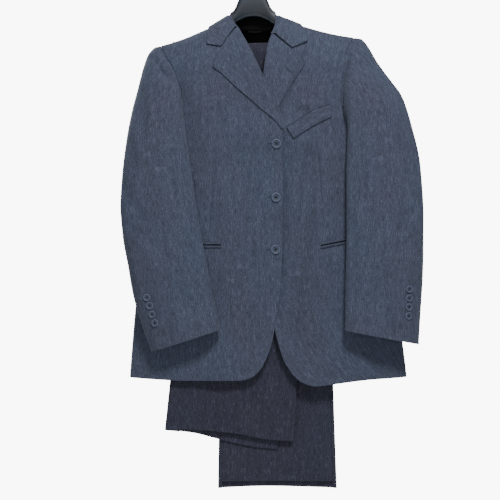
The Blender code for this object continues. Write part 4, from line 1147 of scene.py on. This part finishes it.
legs = {
    "rightFront": ("right", legRight, hemRightFront, -58, 121.5, "outerLeg", True),
    "rightBack": ("right", legRight, hemRightBack, 122.1, 300.2, "outerLeg", False),
    "leftFront": ("left", legLeft, hemLeftFront, 32, 148, "innerLeg", True),
    "leftBack": ("left", legLeft, hemLeftBack, 148.8, 389.9, "innerLeg", False),
}
legGrids = {}
for key, (side, table, hem, start, end, roll, folded) in legs.items():
    grid = legGrid(side, table, hem, start, end, trousers[roll], folded)
    legGrids[key] = grid
    pieces["leg" + key] = clothShell("trousers " + key, grid, trouserWool, trousers["cloth"], True,
                                     grid.shape[1] // 2, edge=0.35)


def waistbandPath():
    layers = [trousers["innerLeg"] - 1.05, trousers["innerLeg"] + 1.05, trousers["outerLeg"] - 1.05,
              trousers["outerLeg"] + 1.05]
    path = []
    for first, second, side in ((3, 0, 1), (0, 1, -1), (1, 2, 1), (2, 3, -1)):
        y0, y1 = layers[first], layers[second]
        reach = 100 if (first, second) == (1, 2) else 106
        path += [(2 - side * 40, y0), (2 + side * 40, y0)]
        for k in range(9):
            turn = math.pi * k / 8
            path.append((2 + side * (reach + abs(y1 - y0) / 2 * math.sin(turn)),
                         mix(y0, y1, (1 - math.cos(turn)) / 2)))
    return path


bandTop, bandFoot = trousers["waistEnd"] + 0.4, trousers["waistEnd"] + trousers["waistband"]
bandDrops = [mix(bandTop, bandFoot, share) for share in spread(8)]
bandGrid = [[(x, y, drop) for x, y in waistbandPath()] for drop in bandDrops]
pieces["waistband"] = clothShell("waistband", bandGrid, trouserWool, 1.3, closed=True, offset=0, edge=0.3)
print("trousers made")


# Buttons: turned from a cast blank, four holes, a dished middle inside a raised rim, sewn with navy thread.

buttons = {
    "frontRadius": 9.8,
    "frontThick": 3.0,
    "cuffRadius": 7.6,
    "cuffThick": 2.6,
    "holeAt": 0.2,
    "holeRadius": 0.105,
    "standOff": 0.35,
}
# share of the radius, share of the thickness, from the middle of the face round to the back
buttonProfile = [(0.0, 0.52), (0.2, 0.53), (0.4, 0.55), (0.52, 0.58), (0.6, 0.66), (0.66, 0.82),
                 (0.72, 0.94), (0.79, 1.0), (0.86, 0.99), (0.93, 0.92), (0.975, 0.8), (1.0, 0.62),
                 (0.985, 0.42), (0.92, 0.18), (0.82, 0.04), (0.7, 0.0), (0.0, 0.0)]
# name, x, drop down the right front; then the cuffs' x, drop
frontButtons = [("top", 50.3, 401.5), ("middle", 49.5, 511.5), ("bottom", 48.8, 619)]
cuffRight = [(-214.7, 717), (-209.2, 733.5), (-204.2, 751.5), (-198, 769)]
cuffLeft = [(321.2, 700), (321, 718.3), (320.6, 736.5), (319.8, 754.8)]


def turnedDisc(name, radius, thick, sides=48):
    build = bmesh.new()
    layer = build.loops.layers.uv.new("cloth")
    rings = []
    for r, height in buttonProfile:
        count = 1 if r == 0 else sides
        rings.append([build.verts.new((r * radius * math.cos(2 * math.pi * i / sides),
                                       r * radius * math.sin(2 * math.pi * i / sides), height * thick))
                      for i in range(count)])
    for a, b in zip(rings, rings[1:]):
        for i in range(sides):
            corners = [a[i % len(a)], a[(i + 1) % len(a)], b[(i + 1) % len(b)], b[i % len(b)]]
            build.faces.new(list(dict.fromkeys(corners)))
    bmesh.ops.recalc_face_normals(build, faces=build.faces)
    for face in build.faces:
        for loop in face.loops:
            loop[layer].uv = (math.hypot(loop.vert.co.x, loop.vert.co.y) / radius, 0.5)
    mesh = bpy.data.meshes.new(name)
    build.to_mesh(mesh)
    build.free()
    return bpy.data.objects.new(name, mesh)


# Cuts the four holes through a disc and gives back its plain mesh.
def drilled(disc, radius, thick):
    build = bmesh.new()
    for i in range(4):
        turn = math.pi / 4 + math.pi / 2 * i
        reach = radius * buttons["holeAt"] * 1.2
        spot = Matrix.Translation((reach * math.cos(turn), reach * math.sin(turn), thick / 2))
        bmesh.ops.create_cone(build, cap_ends=True, segments=14, radius1=radius * buttons["holeRadius"],
                              radius2=radius * buttons["holeRadius"], depth=thick * 2, matrix=spot)
    mesh = bpy.data.meshes.new("drill")
    build.to_mesh(mesh)
    build.free()
    drill = bpy.data.objects.new("drill", mesh)
    for item in (disc, drill):
        bpy.context.scene.collection.objects.link(item)
    cut = disc.modifiers.new("holes", "BOOLEAN")
    cut.operation = "DIFFERENCE"
    cut.solver = "EXACT"
    cut.object = drill
    graph = bpy.context.evaluated_depsgraph_get()
    made = bpy.data.meshes.new_from_object(disc.evaluated_get(graph))
    bpy.data.objects.remove(disc)
    bpy.data.objects.remove(drill)
    return made


# Joins rings of points with faces and closes both ends.
def joinRings(build, rings):
    sides = len(rings[0])
    for a, b in zip(rings, rings[1:]):
        for k in range(sides):
            build.faces.new([a[k], a[(k + 1) % sides], b[(k + 1) % sides], b[k]])
    build.faces.new(reversed(rings[0]))
    build.faces.new(rings[-1])


def tube(build, path, radius, sides=8):
    rings = []
    for i, spot in enumerate(path):
        ahead = (path[min(i + 1, len(path) - 1)] - path[max(i - 1, 0)]).normalized()
        aside = ahead.orthogonal().normalized()
        over = ahead.cross(aside)
        rings.append([build.verts.new(spot + (aside * math.cos(2 * math.pi * k / sides)
                                              + over * math.sin(2 * math.pi * k / sides)) * radius)
                      for k in range(sides)])
    joinRings(build, rings)


# Two bars of thread over the holes and a wound shank below.
def sewing(radius, thick):
    build = bmesh.new()
    reach = radius * buttons["holeAt"] * 1.2 * math.sin(math.pi / 4)
    for y in (-reach, reach):
        for shift in (-0.28, 0.28):
            path = []
            for k in range(9):
                t = k / 8
                path.append(Vector((mix(-reach, reach, t), y + shift,
                                    thick * 0.5 + 0.55 * math.sin(math.pi * t) - 0.5
                                    + 0.5 * min(1, 4 * min(t, 1 - t)))))
            tube(build, path, 0.33)
    for k in range(4):
        ring = [Vector((1.3 * math.cos(a), 1.3 * math.sin(a), -buttons["standOff"] + 0.08 + k * 0.1))
                for a in [2 * math.pi * i / 16 for i in range(16)]]
        tube(build, ring + [ring[0]], 0.28, 6)
    bmesh.ops.recalc_face_normals(build, faces=build.faces)
    mesh = bpy.data.meshes.new("sewing")
    build.to_mesh(mesh)
    build.free()
    return mesh


def sewOn(name, centre, normal, radius, spin, node):
    normal = normal.normalized()
    across = normal.cross(Vector((0, 0, 1))).normalized()
    up = across.cross(normal)
    turnBy = Matrix((across, up, normal)).transposed() @ Matrix.Rotation(spin, 3, "Z")
    place = Matrix.Translation((centre + normal * buttons["standOff"]) * 0.001) @ (turnBy * 0.001).to_4x4()
    made = []
    for label, source, look in ((name, discs[radius], resin), (name + " thread", threads[radius], thread)):
        mesh = source.copy()
        mesh.transform(place)
        mesh.materials.clear()
        mesh.materials.append(look)
        mesh.shade_smooth()
        piece = bpy.data.objects.new(label.replace(" ", "_"), mesh)
        bpy.context.scene.collection.objects.link(piece)
        made.append(piece)
    finish(made[0], "buttons", node)
    finish(made[1], "buttons")


discs, threads = {}, {}
for radius, thick in ((buttons["frontRadius"], buttons["frontThick"]),
                      (buttons["cuffRadius"], buttons["cuffThick"])):
    discs[radius] = drilled(turnedDisc("disc", radius, thick), radius, thick)
    threads[radius] = sewing(radius, thick)


def spot(point):
    return Vector((point[0], point[1], -point[2]))


for number, (name, x, drop) in enumerate(frontButtons):
    across = spot(rightFront(x + 8, drop)) - spot(rightFront(x - 8, drop))
    down = spot(rightFront(x, drop + 8)) - spot(rightFront(x, drop - 8))
    lean = down.cross(across)
    lean = -lean if lean.y > 0 else lean
    sewOn("button " + name, spot(rightFront(x, drop)), lean, buttons["frontRadius"],
          (0.05, -0.12, 0.2)[number], "button_" + name)

for side, table in (("right", cuffRight), ("left", cuffLeft)):
    points = sleeveGrids["top" + side]
    for number, (x, drop) in enumerate(table, 1):
        miss = np.hypot(points[..., 0] - x, points[..., 2] - drop) + np.where(points[..., 1] > -60, 1000, 0)
        r, c = np.unravel_index(np.argmin(miss), miss.shape)
        lean = normalAt(points, r, c)
        centre = Vector((x, points[r, c, 1], -drop))
        sewOn("cuff button %s %d" % (side, number), centre, lean, buttons["cuffRadius"],
              0.3 * number, "cuff_button_%s_%d" % (side, number))
print("buttons made")


# Hanger and hook.

hanger = {
    "middle": 2.0,
    "tilt": 0.026,
    "barRadius": 4.5,
    "barEnds": (-141, 145),
    "panelDepth": 1.3,
    "hookRadius": 20.0,
    "wire": 3.6,
    "collarRadius": 6.0,
}
# distance from the middle; drop of the top and underside; half thickness
hangerShape = [(0, 63, 132, 9), (10, 64, 133, 9), (18, 69, 135, 9), (24, 79, 138, 9), (28, 90, 140, 9),
               (32, 100, 142, 9), (37, 112, 146, 9), (42, 119, 149, 9), (48, 124, 152, 9),
               (49.2, 131, 153, 9), (50.8, 139, 155, 9), (55, 149, 159, 9), (66, 153, 166, 9),
               (92, 158.5, 175, 9.5), (118, 167.6, 183, 10), (127, 170.7, 189, 10), (138, 174.7, 201, 10),
               (150, 179.1, 206, 10), (175, 188, 210, 9.5), (188, 195, 211, 8), (193, 198.5, 209, 5)]
# drop and share of the collar's radius, where the wire leaves the neck
hookCollar = [(66, 1.25), (63.5, 1.2), (62.6, 1.0), (60.5, 0.98), (59.9, 0.85), (59.6, 0.45)]

reaches = [i * 2.0 for i in range(96)] + [191.2, 192.2, 193]
build = bmesh.new()
rings = []
for reach in [-r for r in reversed(reaches)] + reaches[1:]:
    top, foot, half = [read(hangerShape, abs(reach), k) for k in (1, 2, 3)]
    tall = (foot - top) / 2
    ring = []
    for i in range(48):
        turn = 2 * math.pi * i / 48
        sine, cosine = math.sin(turn), math.cos(turn)
        y = half * math.copysign(abs(sine) ** 0.8, sine)
        panel = ease((tall * (1 - abs(cosine)) - 3.0) / 1.6)
        panel *= ease((190 - abs(reach)) / 10)
        panel *= ease((tall - 7) / 3)
        y -= math.copysign(hanger["panelDepth"] * panel, sine)
        drop = (top + foot) / 2 - reach * hanger["tilt"] - tall * cosine
        ring.append(build.verts.new(Vector((hanger["middle"] + reach, y, -drop)) * 0.001))
    rings.append(ring)
joinRings(build, rings)

turns = [2 * math.pi * i / 24 for i in range(24)]
barRings = []
for k in range(30):
    x = mix(*hanger["barEnds"], k / 29)
    barRings.append([build.verts.new(Vector((x, hanger["barRadius"] * math.cos(turn),
                                             -(barDrop(x) + hanger["barRadius"] * math.sin(turn)))) * 0.001)
                     for turn in turns])
joinRings(build, barRings)

collarRings = []
for drop, share in hookCollar:
    radius = hanger["collarRadius"] * share
    collarRings.append([build.verts.new(Vector((hanger["middle"] + radius * math.cos(turn),
                                                radius * math.sin(turn), -drop)) * 0.001)
                        for turn in turns])
joinRings(build, collarRings)
bmesh.ops.recalc_face_normals(build, faces=build.faces)
finish(pieceFrom(build, "moulded_hanger", moulding, True), "hanger", "hanger")
print("hanger made")


# Geometry Nodes: a round wire along a path, and rows of stitches along a line.

def newTree(name, sizes):
    tree = bpy.data.node_groups.new(name, "GeometryNodeTree")
    tree.interface.new_socket("Geometry", in_out="INPUT", socket_type="NodeSocketGeometry")
    for label, value in sizes.items():
        kind = "NodeSocketInt" if isinstance(value, int) else "NodeSocketFloat"
        tree.interface.new_socket(label, in_out="INPUT", socket_type=kind).default_value = value
    tree.interface.new_socket("Material", in_out="INPUT", socket_type="NodeSocketMaterial")
    tree.interface.new_socket("Geometry", in_out="OUTPUT", socket_type="NodeSocketGeometry")
    return tree, addNode(tree, "NodeGroupInput")


wireTree, given = newTree("wireAlongPath", {"Wire Radius": 0.0018, "Sides": 20})
line = addNode(wireTree, "GeometryNodeMeshToCurve", {}, {"Mesh": (given, "Geometry")})
smoothLine = addNode(wireTree, "GeometryNodeCurveSplineType", {"spline_type": "NURBS"},
                     {"Curve": (line, "Curve")})
evenLine = addNode(wireTree, "GeometryNodeResampleCurve", {"Count": 120}, {"Curve": (smoothLine, "Curve")})
profile = addNode(wireTree, "GeometryNodeCurvePrimitiveCircle", {},
                  {"Radius": (given, "Wire Radius"), "Resolution": (given, "Sides")})
swept = addNode(wireTree, "GeometryNodeCurveToMesh", {"Fill Caps": True},
                {"Curve": (evenLine, "Curve"), "Profile Curve": (profile, "Curve")})
smooth = addNode(wireTree, "GeometryNodeSetShadeSmooth", {}, {"Geometry": (swept, "Mesh")})
solid = addNode(wireTree, "GeometryNodeRealizeInstances", {}, {"Geometry": (smooth, "Geometry")})
coloured = addNode(wireTree, "GeometryNodeSetMaterial", {},
                   {"Geometry": (solid, "Geometry"), "Material": (given, "Material")})
addNode(wireTree, "NodeGroupOutput", {}, {"Geometry": (coloured, "Geometry")})

stitchTree, given = newTree("stitchRow", {"Spacing": 0.004, "Stitch Length": 0.0026, "Thread Radius": 0.0003,
                                          "Unevenness": 0.12, "Seed": 4})
line = addNode(stitchTree, "GeometryNodeMeshToCurve", {}, {"Mesh": (given, "Geometry")})
places = addNode(stitchTree, "GeometryNodeCurveToPoints", {"mode": "LENGTH"},
                 {"Curve": (line, "Curve"), "Length": (given, "Spacing")})
strand = addNode(stitchTree, "GeometryNodeMeshUVSphere", {"Segments": 6, "Rings": 5, "Radius": 1.0})
halfLength = addNode(stitchTree, "ShaderNodeMath", {"operation": "MULTIPLY", 1: 0.5},
                     {0: (given, "Stitch Length")})
strandSize = addNode(stitchTree, "ShaderNodeCombineXYZ", {},
                     {"X": (given, "Thread Radius"), "Y": (given, "Thread Radius"),
                      "Z": (halfLength, "Value")})
less = addNode(stitchTree, "ShaderNodeMath", {"operation": "SUBTRACT", 0: 1.0}, {1: (given, "Unevenness")})
more = addNode(stitchTree, "ShaderNodeMath", {"operation": "ADD", 0: 1.0}, {1: (given, "Unevenness")})
uneven = addNode(stitchTree, "FunctionNodeRandomValue", {"data_type": "FLOAT"},
                 {2: (less, "Value"), 3: (more, "Value"), "Seed": (given, "Seed")})
size = addNode(stitchTree, "ShaderNodeVectorMath", {"operation": "SCALE"},
               {0: (strandSize, "Vector"), "Scale": (uneven, 1)})
facing = addNode(stitchTree, "FunctionNodeAlignRotationToVector", {"axis": "Z"},
                 {"Vector": (places, "Tangent")})
sewn = addNode(stitchTree, "GeometryNodeInstanceOnPoints", {},
               {"Points": (places, "Points"), "Instance": (strand, "Mesh"), "Rotation": (facing, "Rotation"),
                "Scale": (size, "Vector")})
solid = addNode(stitchTree, "GeometryNodeRealizeInstances", {}, {"Geometry": (sewn, "Instances")})
smooth = addNode(stitchTree, "GeometryNodeSetShadeSmooth", {}, {"Geometry": (solid, "Geometry")})
coloured = addNode(stitchTree, "GeometryNodeSetMaterial", {},
                   {"Geometry": (smooth, "Geometry"), "Material": (given, "Material")})
addNode(stitchTree, "NodeGroupOutput", {}, {"Geometry": (coloured, "Geometry")})


# Runs a tree over lines of points in millimetres and gives back one plain mesh object.
def fromTree(name, tree, lines, sizes, material):
    places, edges = [], []
    for path in lines:
        first = len(places)
        places += [Vector(point) * 0.001 for point in path]
        edges += [(first + i, first + i + 1) for i in range(len(path) - 1)]
    mesh = bpy.data.meshes.new(name)
    mesh.from_pydata(places, edges, [])
    piece = bpy.data.objects.new(name, mesh)
    bpy.context.scene.collection.objects.link(piece)
    modifier = piece.modifiers.new("made by rule", "NODES")
    modifier.node_group = tree
    for socket in tree.interface.items_tree:
        if socket.in_out == "INPUT" and socket.name in sizes:
            modifier[socket.identifier] = sizes[socket.name]
        if socket.in_out == "INPUT" and socket.name == "Material":
            modifier[socket.identifier] = material
    graph = bpy.context.evaluated_depsgraph_get()
    made = bpy.data.meshes.new_from_object(piece.evaluated_get(graph))
    piece.modifiers.clear()
    piece.data = made
    if material.name not in [m.name for m in made.materials if m]:
        made.materials.clear()
        made.materials.append(material)
    return piece


wireMiddle = hanger["hookRadius"] + hanger["wire"] / 2
hookPath = [(2, 0, -64), (2, 0, -58), (2, 0, -54)]
for k in range(1, 7):
    hookPath.append((mix(2, wireMiddle, ease(k / 7)), 0, -mix(54, hanger["hookRadius"], k / 7)))
for k in range(33):
    turn = math.radians(mix(0, 205, k / 32))
    hookPath.append((wireMiddle * math.cos(turn), 0, -(hanger["hookRadius"] - wireMiddle * math.sin(turn))))
hook = fromTree("wire_hook", wireTree, [hookPath], {"Wire Radius": hanger["wire"] / 2000, "Sides": 20},
                wireSteel)
finish(hook, "hook", "hook")

stitches = {
    "hole": {"Spacing": 0.0008, "Stitch Length": 0.0013, "Thread Radius": 0.00032, "Unevenness": 0.1,
             "Seed": 2},
    "hem": {"Spacing": 0.0062, "Stitch Length": 0.0026, "Thread Radius": 0.00030, "Unevenness": 0.25,
            "Seed": 7},
    "tack": {"Spacing": 0.0009, "Stitch Length": 0.0012, "Thread Radius": 0.00026, "Unevenness": 0.1,
             "Seed": 3},
    "holeLength": 20.0,
    "holeWidth": 2.2,
}


# A worked buttonhole: thread round a slit, laid on a surface at a slant.
def holeOutline(x, drop, slant, length, width, surface, lift):
    outline = []
    for i in range(41):
        turn = 2 * math.pi * i / 40
        along = math.copysign(abs(math.cos(turn)) ** 0.6, math.cos(turn)) * length / 2
        across = math.copysign(abs(math.sin(turn)) ** 0.5, math.sin(turn)) * width / 2
        px = x + along * math.cos(slant) - across * math.sin(slant)
        pd = drop + along * math.sin(slant) + across * math.cos(slant)
        outline.append(spot(surface(px, pd, lift)))
    return outline


holeLines, slits = [], []
for name, x, drop in frontButtons:
    centre = x - stitches["holeLength"] / 2 + 2
    holeLines.append(holeOutline(centre, drop, 0, stitches["holeLength"], stitches["holeWidth"],
                                 rightFront, 0.15))
    slits.append((centre, drop, 0, stitches["holeLength"] - 2, rightFront, 0.12))


def onLapel(x, drop, lift):
    return leftFront(x, drop, 3.5 + lift)


holeLines.append(holeOutline(74, 249, math.radians(42), 17, 2.0, onLapel, 0.15))
slits.append((74, 249, math.radians(42), 15, onLapel, 0.14))
buttonholes = fromTree("buttonhole_stitches", stitchTree, holeLines, stitches["hole"], thread)
finish(buttonholes, "buttons")

build = bmesh.new()
for x, drop, slant, length, surface, lift in slits:
    top, foot = [], []
    for k in range(17):
        t = k / 16
        half = 0.45 * math.sin(math.pi * t) ** 0.5 + 0.02
        along = mix(-length / 2, length / 2, t)
        for edge, row in ((-half, top), (half, foot)):
            px = x + along * math.cos(slant) - edge * math.sin(slant)
            pd = drop + along * math.sin(slant) + edge * math.cos(slant)
            row.append(build.verts.new(spot(surface(px, pd, lift)) * 0.001))
    for k in range(16):
        build.faces.new([foot[k], foot[k + 1], top[k + 1], top[k]])
finish(pieceFrom(build, "buttonhole_slits", thread), "buttons")


# A black satin strip as painted shade inside the mouth of each pocket, seen between the hip pockets' jets and
# above the welt.
build = bmesh.new()
for line, surface, above, below in ((pocketRight, rightFront, -1.6, 1.6), (pocketLeft, leftFront, -1.6, 1.6),
                                    (breastTop, leftFront, -1.0, 1.6)):
    rows = [[build.verts.new(spot(surface(x, drop + shift, 0.5)) * 0.001) for shift in (above, below)]
            for x, drop in (readRow(line, k / 16) for k in range(49))]
    for (a, b), (c, d) in zip(rows, rows[1:]):
        build.faces.new([a, b, d, c])
finish(pieceFrom(build, "pocket_mouths", satin), "lining")


# Stitches that hold the turned hems, along the front and back layers of each leg.
def hemLine(grid, rise, face):
    line = []
    steps = np.linalg.norm(np.diff(grid[:, grid.shape[1] // 2], axis=0), axis=1)
    total = np.concatenate([[0], np.cumsum(steps)])
    r = int(np.argmin(np.abs(total - rise)))
    for c in range(4, grid.shape[1] - 4):
        x, y, drop = grid[r, c]
        line.append((x, y + face * 0.12, -drop))
    return line


hemLines = []
for key, face in (("rightFront", -1), ("leftFront", -1), ("rightBack", 1), ("leftBack", 1)):
    hemLines.append(hemLine(legGrids[key], trousers["hemRise"], face))
hemStitches = fromTree("hem_stitches", stitchTree, hemLines, stitches["hem"], thread)
finish(hemStitches, "trouser_cloth")

tackLines = []
for line, surface, height in ((pocketRight, rightFront, 2.95), (pocketLeft, leftFront, 3.15)):
    for share in (0.012, 0.988):
        x, drop = readRow(line, share * 3)
        tackLines.append([spot(surface(x, drop + mix(-4.6, 4.6, k / 8), height)) for k in range(9)])
for x, top, foot in ((162.2, 321.5, 344), (73, 370, 388)):
    end = x + (1.2 if x > 100 else 12)
    tackLines.append([spot(leftFront(mix(x, end, k / 8), mix(top, foot, k / 8), 3.2)) for k in range(9)])
tacks = fromTree("pocket_tacks", stitchTree, tackLines, stitches["tack"], thread)
finish(tacks, "jacket_cloth")
print("stitches made")


# What each piece stands for, its finish, and the cloth that shows of it: width, length and area in metres.
cloth = {
    "frontRight": ("front_right", "jacket_cloth", 0.34, 0.76, 0.197),
    "frontLeft": ("front_left", "jacket_cloth", 0.31, 0.77, 0.173),
    "backright": ("back_right", "jacket_cloth", 0.31, 0.77, 0.175),
    "backleft": ("back_left", "jacket_cloth", 0.33, 0.77, 0.184),
    "topSleeveright": ("top_sleeve_right", "jacket_cloth", 0.21, 0.66, 0.106),
    "underSleeveright": ("under_sleeve_right", "jacket_cloth", 0.20, 0.60, 0.095),
    "topSleeveleft": ("top_sleeve_left", "jacket_cloth", 0.21, 0.66, 0.100),
    "underSleeveleft": ("under_sleeve_left", "jacket_cloth", 0.20, 0.60, 0.092),
    "lapelRight": ("lapel_right", "jacket_cloth", 0.075, 0.27, 0.0112),
    "lapelLeft": ("lapel_left", "jacket_cloth", 0.085, 0.22, 0.0112),
    "collar": ("collar", "jacket_cloth", 0.09, 0.42, 0.026),
    "upperJetright": ("jet_upper_right", "jacket_cloth", 0.01, 0.142, 0.0008),
    "lowerJetright": ("jet_lower_right", "jacket_cloth", 0.01, 0.142, 0.0008),
    "upperJetleft": ("jet_upper_left", "jacket_cloth", 0.01, 0.122, 0.00068),
    "lowerJetleft": ("jet_lower_left", "jacket_cloth", 0.01, 0.122, 0.00068),
    "breastWelt": ("breast_welt", "jacket_cloth", 0.03, 0.105, 0.00265),
    "neckLining": ("neck_lining", "lining", 0.20, 0.14, 0.026),
    "hangingLoop": ("hanging_loop", "lining", 0.01, 0.030, 0.0002),
    "legrightFront": ("trouser_right_front", "trouser_cloth", 0.28, 0.95, 0.241),
    "legrightBack": ("trouser_right_back", "trouser_cloth", 0.28, 0.97, 0.246),
    "legleftFront": ("trouser_left_front", "trouser_cloth", 0.26, 1.05, 0.233),
    "legleftBack": ("trouser_left_back", "trouser_cloth", 0.26, 1.07, 0.232),
    "waistband": ("waistband", "trouser_cloth", 0.86, 0.034, 0.029),
}
for key, (node, slot, width, length, area) in cloth.items():
    piece = pieces[key]
    piece.name = node + "_cloth"
    finish(piece, slot, node)
print("pieces declared:", len(cloth))
